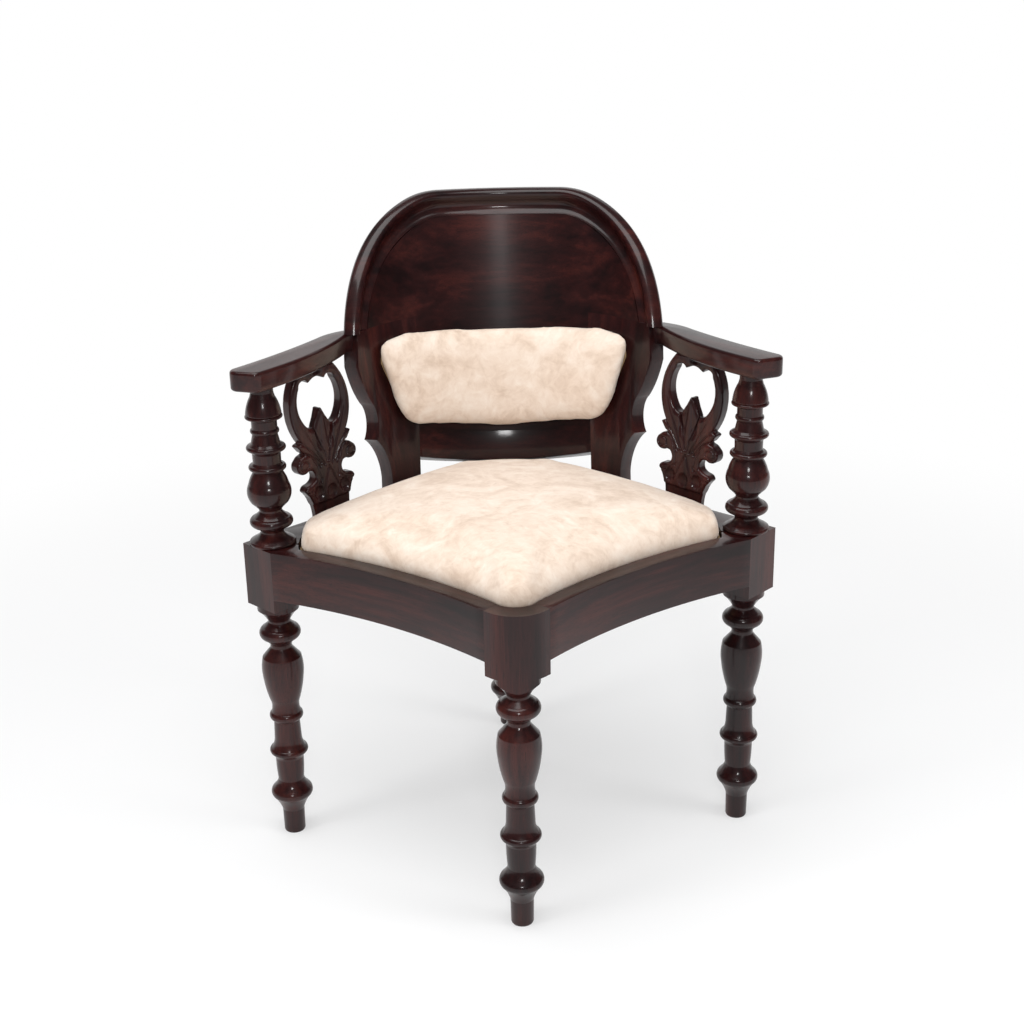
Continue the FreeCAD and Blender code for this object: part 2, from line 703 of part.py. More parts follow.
SPLAT_HALF = [
    (30.0, RAIL_TOP - 5.0), (30.5, 463.0),
    (33.5, 478.0, 37.0, 487.0),
    (40.0, 491.0, 43.5, 495.5),
    (41.5, 500.0, 35.0, 503.0),
    (29.0, 505.0, 25.0, 508.0),
    (23.5, 515.0, 28.0, 523.0), (33.0, 523.5),
    (38.0, 521.3, 43.0, 521.3),
    (51.5, 531.0, 46.0, 542.0),
    (42.0, 545.5, 36.0, 547.0), (35.0, 549.0), (38.5, 551.0), (46.0, 561.5), (43.0, 563.5), (38.5, 564.5),
    (50.8, 610.0, 33.0, ARM_BOTTOM - 3.0), (28.0, ARM_BOTTOM + 5.0),
]
LOOP_HALF = [
    (2.0, 605.0), (15.5, 580.0),
    (22.0, 581.7, 27.0, 587.0),
    (36.5, 612.0, 30.0, 640.0),
    (28.0, 646.0, 24.0, 648.0),
    (18.0, 648.0, 14.0, 643.5), (9.5, 646.0),
]
LOOP_TOP = 649.0


def mirrored_outline(half, low, high):
    """A closed outline in the upright plane from its right half, which runs up from low to high."""
    def at(across, level):
        return Vector(across, 0, level)

    def run(sign):
        edges = []
        point = at(sign * half[0][0], half[0][1])
        for step in half[1:]:
            last = at(sign * step[-2], step[-1])
            if len(step) == 2:
                edges.append(line(point, last))
            else:
                edges.append(arc(point, at(sign * step[0], step[1]), last))
            point = last
        return edges, point

    right, right_top = run(1.0)
    left, left_top = run(-1.0)
    if abs(high - right_top.z) > 0.01:
        cap = arc(right_top, at(0, high), left_top)
    else:
        cap = line(right_top, left_top)
    base = line(at(-half[0][0], low), at(half[0][0], low))
    return Part.Wire(Part.__sortEdges__(right + [cap] + left + [base]))


def left_splat_shape():
    """The board of the carved splat with its pierced loop: along the rail, leaning out to the arm."""
    through = Vector(0, SPLAT_THICK, 0)
    body = Part.Face(mirrored_outline(SPLAT_HALF, SPLAT_HALF[0][1], SPLAT_HALF[-1][-1])).extrude(through)
    loop = Part.Face(mirrored_outline(LOOP_HALF, LOOP_HALF[0][1], LOOP_TOP)).extrude(through)
    splat = body.cut(loop)
    splat.translate(Vector(0, -SPLAT_THICK / 2, 0))
    foot = Vector(0, 0, RAIL_TOP)
    splat.rotate(foot, Vector(0, 1, 0), -SPLAT_LEAN_ALONG)
    splat.rotate(foot, ACROSS, -SPLAT_LEAN_OUT)
    splat.rotate(foot, UP, SPLAT_TURN)
    splat.translate(Vector(SPLAT_FOOT_X, SPLAT_FOOT_Y, 0))
    return splat.common(slab(RAIL_TOP, ARM_BOTTOM))


# Fasteners

def pin(start, direction, radius, length):
    return Part.makeCylinder(radius, length, start, direction)


def screw(head_start, direction, length):
    """A plain countersunk wood screw: its head's face is at the start."""
    head = Part.makeCone(SCREW_HEAD / 2, SCREW / 2, SCREW_HEAD / 2 - SCREW / 2, head_start, direction)
    return head.fuse(Part.makeCylinder(SCREW / 2, length, head_start, direction)).removeSplitter()


def upright_dowel(x, y, height):
    return pin(Vector(x, y, height - DOWEL_LONG / 2), UP, DOWEL / 2, DOWEL_LONG)


def splat_dowels():
    """Two dowels under each splat and one over it, on both sides."""
    turn = math.radians(SPLAT_TURN)
    pins = []
    for along in (-SPLAT_DOWEL_APART / 2, SPLAT_DOWEL_APART / 2):
        x = SPLAT_FOOT_X + along * math.cos(turn)
        y = SPLAT_FOOT_Y + along * math.sin(turn)
        pins.append(upright_dowel(x, y, RAIL_TOP))
    low = LOOP_TOP + 5.0
    pins.append(pin(Vector(SPLAT_TOP_X, SPLAT_TOP_Y, low), UP, DOWEL / 2, DOWEL_LONG))
    return pins + [mirrored(each) for each in pins]


def stile_dowels():
    """Two dowels under the foot of each stile."""
    pins = []
    for angle in STILE_DOWEL_ANGLES:
        place = back_point(BACK_RADIUS + STILE_THICK / 2, -angle, STILE_DOWEL_LEVEL)
        pins.append(upright_dowel(place.x, place.y, RAIL_TOP))
    return pins + [mirrored(each) for each in pins]


def arm_dowels():
    """One dowel across each joint between an arm and its stile."""
    radius = BACK_RADIUS + STILE_THICK - 6.0
    place = back_point(radius, -STILE_OUTER_ANGLE, ARM_DOWEL_LEVEL)
    into = back_point(radius, 4.0 - STILE_OUTER_ANGLE, ARM_DOWEL_LEVEL).sub(place).normalize()
    one = pin(place - into * (DOWEL_LONG / 2), into, DOWEL / 2, DOWEL_LONG)
    return [one, mirrored(one)]


def rim_dowels():
    """Dowels from the rim's feet down into the stiles."""
    place = back_point(BACK_RADIUS + STILE_THICK / 2, RIM_DOWEL_ANGLE, RIM_DOWEL_LEVEL)
    one = upright_dowel(place.x, place.y, ARM_TOP)
    return [one, mirrored(one)]


def pad_screws():
    """Four screws through the panel from behind into the pad's board."""
    screws = []
    for angle in (-PAD_SCREW_ANGLE, PAD_SCREW_ANGLE):
        for level in PAD_SCREW_LEVELS:
            start = back_point(BACK_RADIUS + PANEL_THICK, angle, level)
            into = back_point(BACK_RADIUS, angle, level).sub(start).normalize()
            screws.append(screw(start, into, PAD_SCREW_LONG))
    return screws


def seat_screws():
    """Four screws up through the corner blocks into the seat board."""
    low = SEAT_LEDGE - DUST_COVER_THICK - CORNER_BLOCK_TALL
    places = [
        (-CORNER_BLOCK_SIDE_X - SEAT_SCREW_IN, 0.0), (CORNER_BLOCK_SIDE_X + SEAT_SCREW_IN, 0.0),
        (0.0, CORNER_BLOCK_FRONT_Y - SEAT_SCREW_IN), (0.0, CORNER_BLOCK_REAR_Y + SEAT_SCREW_IN),
    ]
    return [screw(Vector(x, y, low), UP, SEAT_SCREW_LONG) for x, y in places]


def block_screws():
    """Two screws from each corner block into the rails beside it."""
    level = SEAT_LEDGE - DUST_COVER_THICK - CORNER_BLOCK_TALL / 2
    screws = []
    for side in (-1.0, 1.0):
        sideways = Vector(side, 0, 0)
        screws.append(screw(Vector(side * CORNER_BLOCK_SIDE_X, -32.0, level), sideways, BLOCK_SCREW_LONG))
        screws.append(screw(Vector(side * CORNER_BLOCK_SIDE_X, 26.0, level), sideways, BLOCK_SCREW_LONG))
        front = Vector(side * 36.0, CORNER_BLOCK_FRONT_Y, level)
        rear = Vector(side * 36.0, CORNER_BLOCK_REAR_Y, level)
        screws.append(screw(front, Vector(0, -1, 0), BLOCK_SCREW_LONG))
        screws.append(screw(rear, Vector(0, 1, 0), BLOCK_SCREW_LONG))
    return screws


def joined(solids):
    return Part.makeCompound(solids)


def build():
    """Every piece of the chair by its name, cut so that no two pieces share any space."""
    opening = seat_opening()
    left_leg = left_leg_shape()
    right_leg = mirrored(left_leg)
    front_leg = front_leg_shape()
    rear_leg = rear_leg_shape()
    front_left_rail = front_rail_shape()
    rear_left_rail = rear_rail_shape()
    rails = [front_left_rail, mirrored(front_left_rail), rear_left_rail, mirrored(rear_left_rail)]

    left_stile = left_stile_shape()
    stiles = [left_stile, mirrored(left_stile)]
    panel = panel_shape()
    rim = rim_shape().cut(panel)
    left_splat = left_splat_shape()
    post_top = Vector(-SIDE_LEG_X, 0, ARM_BOTTOM)
    tenon_hole = Part.makeCylinder(POST_TENON_RADIUS, POST_TENON_TOP - ARM_BOTTOM, post_top)
    left_arm = left_arm_blank().cut([left_stile, tenon_hole])

    dust_cover = seat_plate(DUST_COVER_INSET, SEAT_LEDGE - DUST_COVER_THICK, SEAT_LEDGE)

    parts = {
        "front_leg": front_leg.cut(rails + [opening]),
        "left_leg": left_leg.cut(rails + [opening]),
        "right_leg": right_leg.cut(rails + [opening]),
        "rear_leg": rear_leg.cut(rails),
        "front_left_rail": rails[0].cut(opening),
        "front_right_rail": rails[1].cut(opening),
        "rear_left_rail": rails[2].cut(opening),
        "rear_right_rail": rails[3].cut(opening),
        "left_arm": left_arm,
        "right_arm": mirrored(left_arm),
        "left_splat": left_splat,
        "right_splat": mirrored(left_splat),
        "left_back_stile": stiles[0],
        "right_back_stile": stiles[1],
        "back_rim": rim,
        "back_panel": panel.cut(stiles),
        "back_bottom_rail": bottom_rail_shape(),
        "back_pad_board": pad_board_shape(),
        "back_pad": pad_shape(),
        "seat_board": seat_plate(SEAT_PLAY, SEAT_LEDGE, SEAT_LEDGE + BOARD_THICK),
        "seat_dust_cover": dust_cover.cut(rails + [front_leg]),
        "seat_cushion": seat_cushion_shape(),
    }
    parts.update(corner_block_shapes())

    fasteners = {
        "splat_dowels": splat_dowels(),
        "stile_dowels": stile_dowels(),
        "arm_dowels": arm_dowels(),
        "rim_dowels": rim_dowels(),
        "pad_screws": pad_screws(),
        "seat_screws": seat_screws(),
        "corner_block_screws": block_screws(),
    }
    holes = [solid for group in fasteners.values() for solid in group]
    for name, shape in parts.items():
        near = [hole for hole in holes if hole.BoundBox.intersect(shape.BoundBox)]
        if near and name not in ("back_pad", "seat_cushion"):
            parts[name] = shape.cut(near)
    for name, group in fasteners.items():
        parts[name] = joined(group)
    return parts


os.makedirs("parts", exist_ok=True)
for name, shape in build().items():
    shape.translate(Vector(0, -MIDDLE_Y, 0))
    shape.exportStep("parts/" + name + ".step")
    box = shape.BoundBox
    print(f"{name:22s} solids {len(shape.Solids)} valid {shape.isValid()} {shape.Volume / 1000:8.1f} cc"
          f"  x {box.XMin:7.1f} {box.XMax:7.1f}  y {box.YMin:7.1f} {box.YMax:7.1f}"
          f"  z {box.ZMin:6.1f} {box.ZMax:6.1f}")
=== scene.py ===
"""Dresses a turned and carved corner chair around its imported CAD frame.

All lengths are metres in the frame of the CAD model: X across, Y towards the back and Z up.
Left and right are as seen from the front.
"""
import logging
import math
from dataclasses import dataclass, field
from enum import Enum
from typing import Callable, Sequence

import bmesh
import bpy
import numpy as np
from mathutils import Matrix, Vector
from mathutils.kdtree import KDTree


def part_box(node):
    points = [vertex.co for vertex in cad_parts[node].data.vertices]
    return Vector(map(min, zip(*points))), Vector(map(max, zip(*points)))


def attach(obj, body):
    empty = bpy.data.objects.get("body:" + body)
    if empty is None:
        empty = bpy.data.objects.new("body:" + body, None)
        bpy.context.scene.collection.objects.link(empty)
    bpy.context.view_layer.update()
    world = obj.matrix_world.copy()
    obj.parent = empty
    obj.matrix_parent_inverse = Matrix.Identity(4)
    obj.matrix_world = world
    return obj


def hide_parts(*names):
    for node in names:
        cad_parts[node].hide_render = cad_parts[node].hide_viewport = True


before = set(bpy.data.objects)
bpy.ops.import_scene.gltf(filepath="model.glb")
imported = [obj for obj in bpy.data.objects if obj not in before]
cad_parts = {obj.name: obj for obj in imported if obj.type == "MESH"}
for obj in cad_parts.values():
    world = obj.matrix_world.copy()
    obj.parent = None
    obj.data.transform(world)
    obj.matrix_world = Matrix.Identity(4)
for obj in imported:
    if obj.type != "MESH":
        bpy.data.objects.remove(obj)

log = logging.getLogger("corner_chair")

BODY = "root"
MM = 0.001
MIDDLE_Y = 33.8025
MERGE_CAD = 0.00002
MERGE_SWEEP = 0.00005
FLAT_ENOUGH = math.radians(0.2)

Colour = tuple[float, float, float]
Place = tuple[float, float, float]


def mm(x: float, y: float, z: float) -> Vector:
    """A point of the frame from millimetres."""
    return Vector((x, y, z)) * MM


# ---------------------------------------------------------------- shader helpers


class Signal:
    """A number socket that adds Math nodes when it is used in a Python expression."""

    def __init__(self, recipe: "Recipe", socket: bpy.types.NodeSocket) -> None:
        """Wrap one output socket.

        Args:
            recipe: The material that the socket belongs to.
            socket: The output socket with the number.
        """
        self.recipe = recipe
        self.socket = socket

    def _math(self, operation: str, *values: "Signal | float") -> "Signal":
        """Add one Math node.

        Args:
            operation: The Math node's operation.
            values: Its inputs in order.

        Returns:
            The node's result.
        """
        node = self.recipe.node("ShaderNodeMath", {"operation": operation}, dict(enumerate(values)))
        return Signal(self.recipe, node.outputs[0])

    def __add__(self, other: "Signal | float") -> "Signal":
        """The sum of two numbers."""
        return self._math("ADD", self, other)

    __radd__ = __add__

    def __sub__(self, other: "Signal | float") -> "Signal":
        """This number less another."""
        return self._math("SUBTRACT", self, other)

    def __rsub__(self, other: float) -> "Signal":
        """Another number less this one."""
        return self._math("SUBTRACT", other, self)

    def __mul__(self, other: "Signal | float") -> "Signal":
        """The product of two numbers."""
        return self._math("MULTIPLY", self, other)

    __rmul__ = __mul__

    def high(self, other: "Signal | float") -> "Signal":
        """The larger of two numbers."""
        return self._math("MAXIMUM", self, other)

    def ramp(self, low: float, high: float) -> "Signal":
        """A smooth step from 0 at low to 1 at high.

        Args:
            low: Where the step starts.
            high: Where it ends.

        Returns:
            The stepped number.
        """
        node = self.recipe.node(
            "ShaderNodeMapRange", {"interpolation_type": "SMOOTHSTEP"}, {0: self, 1: low, 2: high, 3: 0.0, 4: 1.0})
        return Signal(self.recipe, node.outputs[0])


class Recipe:
    """One material and the nodes that make it."""

    def __init__(self, name: str) -> None:
        """Start an empty material.

        Args:
            name: The material's name.
        """
        self.material = bpy.data.materials.new(name)
        self.material.use_nodes = True
        self.tree = self.material.node_tree
        self.tree.nodes.clear()

    def node(self, kind: str, settings: dict | None = None, sockets: dict | None = None) -> bpy.types.Node:
        """Add one node: its settings first, then the values or links of its sockets.

        Args:
            kind: The node's type.
            settings: Attributes of the node, or a ramp's stops under the key "stops".
            sockets: Values, sockets or signals by the input's name or number.

        Returns:
            The new node.
        """
        made = self.tree.nodes.new(kind)
        for key, value in (settings or {}).items():
            if key == "stops":
                self._set_stops(made, value)
            else:
                setattr(made, key, value)
        for key, value in (sockets or {}).items():
            if isinstance(value, Signal):
                self.tree.links.new(value.socket, made.inputs[key])
            elif isinstance(value, bpy.types.NodeSocket):
                self.tree.links.new(value, made.inputs[key])
            else:
                made.inputs[key].default_value = value
        return made

    @staticmethod
    def _set_stops(ramp: bpy.types.Node, stops: Sequence[tuple[float, Colour]]) -> None:
        """Give a colour ramp its stops.

        Args:
            ramp: The ColorRamp node.
            stops: Each stop's place and colour.
        """
        elements = ramp.color_ramp.elements
        while len(elements) < len(stops):
            elements.new(0.5)
        for element, (place, colour) in zip(elements, stops):
            element.position = place
            element.color = (*colour, 1.0)

    def object_place(self) -> bpy.types.NodeSocket:
        """The point's place in the frame."""
        return self.node("ShaderNodeTexCoord").outputs["Object"]

    def moved(self, vector: bpy.types.NodeSocket, turn: Place, shift: Place = (0, 0, 0)) -> bpy.types.NodeSocket:
        """A vector turned by angles in degrees, then moved."""
        angles = tuple(math.radians(angle) for angle in turn)
        return self.node("ShaderNodeMapping", {}, {0: vector, 1: shift, 2: angles}).outputs[0]

    def stretched(self, vector: bpy.types.NodeSocket, scale: Place) -> bpy.types.NodeSocket:
        """A vector times a scale for each axis."""
        return self.node("ShaderNodeVectorMath", {"operation": "MULTIPLY"}, {0: vector, 1: scale}).outputs[0]

    def noise(self, vector: bpy.types.NodeSocket, scale: float | Place, detail: float = 2.0,
              rough: float = 0.5, warp: float = 0.0) -> Signal:
        """A noise number.

        Args:
            vector: Where to read it.
            scale: Its frequency per metre, for all axes or for each.
            detail: Its octaves.
            rough: How strong the small octaves are.
            warp: How far it is distorted.

        Returns:
            The noise between 0 and 1.
        """
        if isinstance(scale, tuple):
            vector = self.stretched(vector, scale)
            scale = 1.0
        made = self.node(
            "ShaderNodeTexNoise", {},
            {"Vector": vector, "Scale": scale, "Detail": detail, "Roughness": rough, "Distortion": warp})
        return Signal(self, made.outputs[0])

    def colours(self, value: Signal, stops: Sequence[tuple[float, Colour]]) -> bpy.types.NodeSocket:
        """A colour picked by a number.

        Args:
            value: The number that picks.
            stops: Each stop's place and colour.

        Returns:
            The colour's socket.
        """
        return self.node("ShaderNodeValToRGB", {"stops": stops}, {0: value}).outputs[0]

    def mix(self, factor: Signal | float, first: bpy.types.NodeSocket | Colour,
            second: bpy.types.NodeSocket | Colour, way: str = "MIX") -> bpy.types.NodeSocket:
        """Two colours mixed.

        Args:
            factor: The second colour's share.
            first: The first colour.
            second: The second colour.
            way: The Mix node's blend type.

        Returns:
            The mixed colour's socket.
        """
        pair = [(*c, 1.0) if isinstance(c, tuple) else c for c in (first, second)]
        node = self.node(
            "ShaderNodeMix", {"data_type": "RGBA", "blend_type": way}, {0: factor, 6: pair[0], 7: pair[1]})
        return node.outputs[2]

    def bump(self, height: Signal, strength: float, distance: float) -> bpy.types.NodeSocket:
        """A normal from a height.

        Args:
            height: The height between 0 and 1.
            strength: How strongly it shows.
            distance: How deep it is, in metres.

        Returns:
            The normal's socket.
        """
        node = self.node("ShaderNodeBump", {}, {"Height": height, "Strength": strength, "Distance": distance})
        return node.outputs[0]

    def surface(self, **sockets: object) -> bpy.types.Material:
        """Close the material with a Principled shader.

        Args:
            sockets: The shader's inputs, with _ in place of spaces.

        Returns:
            The finished material.
        """
        named = {key.replace("_", " "): value for key, value in sockets.items()}
        shader = self.node("ShaderNodeBsdfPrincipled", {}, named)
        self.node("ShaderNodeOutputMaterial", {}, {"Surface": shader.outputs[0]})
        return self.material


# ---------------------------------------------------------------- finishes


class Grain(Enum):
    """Which way the wood's grain runs, as the turn that brings it onto X."""

    UPRIGHT = (0.0, 90.0, 0.0)
    ACROSS = (0.0, 0.0, 0.0)
    FRONT_LEFT = (0.0, 0.0, 36.2)
    FRONT_RIGHT = (0.0, 0.0, -36.2)
    REAR_LEFT = (0.0, 0.0, -43.1)
    REAR_RIGHT = (0.0, 0.0, 43.1)
    ARM_LEFT = (0.0, 0.0, -55.0)
    ARM_RIGHT = (0.0, 0.0, 55.0)


@dataclass(frozen=True)
class Rosewood:
    """Dark red-brown wood with streaks and pores under a worn lacquer."""

    name: str
    grain: Grain
    dark: Colour = (0.0072, 0.0016, 0.0019)
    middle: Colour = (0.0205, 0.0038, 0.0038)
    red: Colour = (0.058, 0.0108, 0.0078)
    pore: Colour = (0.003, 0.0015, 0.0015)
    balance: float = 0.0
    rough: float = 0.40
    coat: float = 0.50
    coat_rough: float = 0.13
    specular: float = 0.16

    def material(self) -> bpy.types.Material:
        """Build the finish."""
        recipe = Recipe(self.name)
        along = recipe.moved(recipe.object_place(), self.grain.value)
        bands = recipe.noise(along, (2.6, 24.0, 24.0), 3.0, 0.55, 0.6)
        streaks = recipe.noise(along, (7.0, 130.0, 130.0), 3.0, 0.6, 0.25)
        fibres = recipe.noise(along, (26.0, 800.0, 800.0), 2.0, 0.6)
        pores = recipe.noise(along, (45.0, 1300.0, 1300.0), 1.0, 0.5).ramp(0.60, 0.70)
        tone = bands * 0.62 + streaks * 0.28 + fibres * 0.10 + self.balance
        colour = recipe.colours(tone, [(0.36, self.dark), (0.50, self.middle), (0.68, self.red)])
        colour = recipe.mix(pores * 0.6, colour, self.pore)
        smudge = recipe.noise(recipe.object_place(), 21.0, 4.0, 0.62)
        rough = smudge * 0.22 + fibres * 0.05 + (self.rough - 0.13)
        height = fibres * 0.5 + (1.0 - pores) * 0.5
        return recipe.surface(
            Base_Color=colour, Roughness=rough, Normal=recipe.bump(height, 0.22, 0.00012),
            Coat_Weight=self.coat, Coat_Roughness=self.coat_rough, Specular_IOR_Level=self.specular)


@dataclass(frozen=True)
class Suede:
    """Cream suede cloth with cloudy marbling and a short nap."""

    name: str
    pale: Colour = (0.745, 0.61, 0.50)
    warm: Colour = (0.60, 0.455, 0.35)
    light: Colour = (0.82, 0.715, 0.615)

    def material(self) -> bpy.types.Material:
        """Build the finish."""
        recipe = Recipe(self.name)
        place = recipe.object_place()
        clouds = recipe.noise(place, 15.0, 5.0, 0.60, 1.4)
        scuffs = recipe.noise(place, (60.0, 85.0, 60.0), 6.0, 0.68, 0.9)
        nap = recipe.noise(place, 1500.0, 2.0, 0.6)
        tone = clouds * 0.62 + scuffs * 0.38
        colour = recipe.colours(tone, [(0.36, self.warm), (0.50, self.pale), (0.62, self.light)])
        colour = recipe.mix(nap * 0.16, colour, self.warm)
        height = nap * 0.55 + scuffs * 0.45
        return recipe.surface(
            Base_Color=colour, Roughness=0.86 + 0.08 * scuffs, Normal=recipe.bump(height, 0.30, 0.0004),
            Sheen_Weight=0.25, Sheen_Roughness=0.5)


@dataclass(frozen=True)
class PlainWood:
    """Pale unvarnished wood with a soft grain, for pieces out of sight."""

    name: str
    pale: Colour = (0.46, 0.31, 0.17)
    deep: Colour = (0.27, 0.16, 0.08)
    grain: Grain = Grain.ACROSS
    rough: float = 0.72

    def material(self) -> bpy.types.Material:
        """Build the finish."""
        recipe = Recipe(self.name)
        along = recipe.moved(recipe.object_place(), self.grain.value)
        bands = recipe.noise(along, (3.0, 42.0, 42.0), 3.0, 0.6, 0.5)
        fibres = recipe.noise(along, (30.0, 700.0, 700.0), 2.0, 0.6)
        colour = recipe.colours(bands * 0.7 + fibres * 0.3, [(0.36, self.deep), (0.62, self.pale)])
        return recipe.surface(
            Base_Color=colour, Roughness=fibres * 0.12 + (self.rough - 0.06),
            Normal=recipe.bump(fibres, 0.3, 0.0002))


@dataclass(frozen=True)
class BlackCloth:
    """Thin black cloth with a plain weave."""

    name: str
    deep: Colour = (0.008, 0.008, 0.009)
    dusty: Colour = (0.045, 0.043, 0.041)

    def material(self) -> bpy.types.Material:
        """Build the finish."""
        recipe = Recipe(self.name)
        place = recipe.object_place()
        warp = recipe.noise(place, (1400.0, 60.0, 60.0), 1.0)
        weft = recipe.noise(place, (60.0, 1400.0, 60.0), 1.0)
        dust = recipe.noise(place, 26.0, 5.0, 0.65)
        weave = warp.high(weft)
        colour = recipe.colours(weave * 0.5 + dust * 0.5, [(0.40, self.deep), (0.72, self.dusty)])
        return recipe.surface(
            Base_Color=colour, Roughness=0.80 + 0.15 * dust, Normal=recipe.bump(weave, 0.4, 0.0002))


@dataclass(frozen=True)
class ScrewSteel:
    """Dulled steel of wood screws, with fine turned marks."""

    name: str
    tarnished: Colour = (0.24, 0.22, 0.20)
    bare: Colour = (0.52, 0.51, 0.49)

    def material(self) -> bpy.types.Material:
        """Build the finish."""
        recipe = Recipe(self.name)
        place = recipe.object_place()
        tarnish = recipe.noise(place, 240.0, 4.0, 0.6)
        marks = recipe.noise(place, (1800.0, 1800.0, 300.0), 1.0)
        colour = recipe.colours(tarnish, [(0.35, self.tarnished), (0.65, self.bare)])
        return recipe.surface(
            Base_Color=colour, Metallic=0.9 + 0.1 * tarnish, Roughness=tarnish * 0.2 + 0.28,
            Normal=recipe.bump(marks, 0.2, 0.0001))


# ---------------------------------------------------------------- mesh helpers


def alone(piece: bpy.types.Object) -> None:
    """Leave one object selected and active."""
    bpy.ops.object.select_all(action="DESELECT")
    piece.select_set(True)
    bpy.context.view_layer.objects.active = piece


def copy_of(node: str, name: str) -> bpy.types.Object:
    """A merged copy of a CAD node's mesh, free to be shaped.

    Args:
        node: The CAD node.
        name: The new piece's name.

    Returns:
        The new object at the origin.
    """
    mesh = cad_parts[node].data.copy()
    mesh.materials.clear()
    piece = bpy.data.objects.new(name, mesh)
    mesh.name = name
    bpy.context.scene.collection.objects.link(piece)
    alone(piece)
    bpy.ops.mesh.customdata_custom_splitnormals_clear()
    bpy.ops.object.mode_set(mode="EDIT")
    bpy.ops.mesh.select_all(action="SELECT")
    bpy.ops.mesh.remove_doubles(threshold=MERGE_CAD)
    bpy.ops.mesh.dissolve_limited(angle_limit=FLAT_ENOUGH)
    bpy.ops.object.mode_set(mode="OBJECT")
    return piece


def never(_: Vector) -> bool:
    """Spare no edge."""
    return False


def soften(piece: bpy.types.Object, width: float, spare: Callable[[Vector], bool] = never,
           angle: float = 32.0, segments: int = 3, clamp: bool = True) -> None:
    """Round a piece's sharp edges and shade it smooth between them.

    Args:
        piece: The piece.
        width: How wide the rounding is, in metres.
        spare: Says of an edge's middle whether the edge is left as it is.
        angle: The least angle, in degrees, of an edge that is rounded.
        segments: How many faces the rounding has.
        clamp: Whether a short edge limits the width.
    """
    alone(piece)
    bpy.ops.object.mode_set(mode="EDIT")
    bpy.ops.mesh.select_mode(type="EDGE")
    bpy.ops.mesh.select_all(action="DESELECT")
    bpy.ops.mesh.edges_select_sharp(sharpness=math.radians(angle))
    edit = bmesh.from_edit_mesh(piece.data)
    for edge in edit.edges:
        if edge.select and spare((edge.verts[0].co + edge.verts[1].co) / 2):
            edge.select_set(False)
    bmesh.update_edit_mesh(piece.data)
    bpy.ops.mesh.bevel(offset=width, segments=segments, affect="EDGES", clamp_overlap=clamp)
    bpy.ops.object.mode_set(mode="OBJECT")
    bpy.ops.object.shade_smooth_by_angle(angle=math.radians(angle))


def remeshed(piece: bpy.types.Object, voxel: float) -> None:
    """Give a closed form an even mesh of this size."""
    alone(piece)
    change = piece.modifiers.new("even", "REMESH")
    change.mode = "VOXEL"
    change.voxel_size = voxel
    bpy.ops.object.modifier_apply(modifier=change.name)


def dress(piece: bpy.types.Object, finish: bpy.types.Material) -> None:
    """Give a piece one finish all over."""
    piece.data.materials.clear()
    piece.data.materials.append(finish)


def settle(piece: bpy.types.Object, finish: bpy.types.Material, slot: str, *nodes: str) -> bpy.types.Object:
    """Dress a finished piece and hand it to the frame.

    Args:
        piece: The piece, with its place in its mesh.
        finish: Its material.
        slot: A material slot's name; not used.
        nodes: The CAD nodes that it stands for.

    Returns:
        The same piece.
    """
    dress(piece, finish)
    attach(piece, BODY)
    if nodes:
        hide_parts(*nodes)
    log.info("%s: %d faces, stands for %s", piece.name, len(piece.data.polygons), ", ".join(nodes) or "nothing")
    return piece


# ---------------------------------------------------------------- the back's tube and the arms' plan


@dataclass(frozen=True)
class Tube:
    """The leaning tube that the back is a slice of, in millimetres."""

    recline: float = 14.0
    axis_y: float = 30.5
    level: float = 689.0
    radius: float = 232.0
    seam_angle: float = 32.0

    def point(self, radius: float, angle: float, level: float) -> Vector:
        """A point of the tube in the frame.

        Args:
            radius: Its distance from the tube's axis.
            angle: Its angle from the middle, in degrees, plus to the right.
            level: Its height along the axis.

        Returns:
            The place in metres.
        """
        lean, turn = math.radians(self.recline), math.radians(angle)
        depth = radius * math.cos(turn)
        return mm(
            radius * math.sin(turn),
            self.axis_y - MIDDLE_Y + level * math.sin(lean) + depth * math.cos(lean),
            self.level + level * math.cos(lean) - depth * math.sin(lean))

    def angle_of(self, place: Vector) -> float:
        """The angle, in degrees, of a place in the frame."""
        lean = math.radians(self.recline)
        deep = place.y / MM - self.axis_y + MIDDLE_Y
        rise = place.z / MM - self.level
        return math.degrees(math.atan2(place.x / MM, deep * math.cos(lean) - rise * math.sin(lean)))


TUBE = Tube()


def arc_points(first: Vector, middle: Vector, last: Vector, count: int) -> list[Vector]:
    """Points on the arc through three points, without the first.

    Args:
        first: Where the arc starts.
        middle: A point on it.
        last: Where it ends.
        count: How many points to give.

    Returns:
        The points from after the first up to the last.
    """
    ax, ay, bx, by, cx, cy = *first, *middle, *last
    double = 2.0 * (ax * (by - cy) + bx * (cy - ay) + cx * (ay - by))
    a2, b2, c2 = first.length_squared, middle.length_squared, last.length_squared
    centre = Vector((
        (a2 * (by - cy) + b2 * (cy - ay) + c2 * (ay - by)) / double,
        (a2 * (cx - bx) + b2 * (ax - cx) + c2 * (bx - ax)) / double))
    start = math.atan2(*(first - centre).yx)
    end = math.atan2(*(last - centre).yx)
    half = math.atan2(*(middle - centre).yx)
    full = (end - start) % math.tau
    if (half - start) % math.tau > full:
        full -= math.tau
    radius = (first - centre).length
    turns = [start + full * step / count for step in range(1, count + 1)]
    return [centre + radius * Vector((math.cos(turn), math.sin(turn))) for turn in turns]


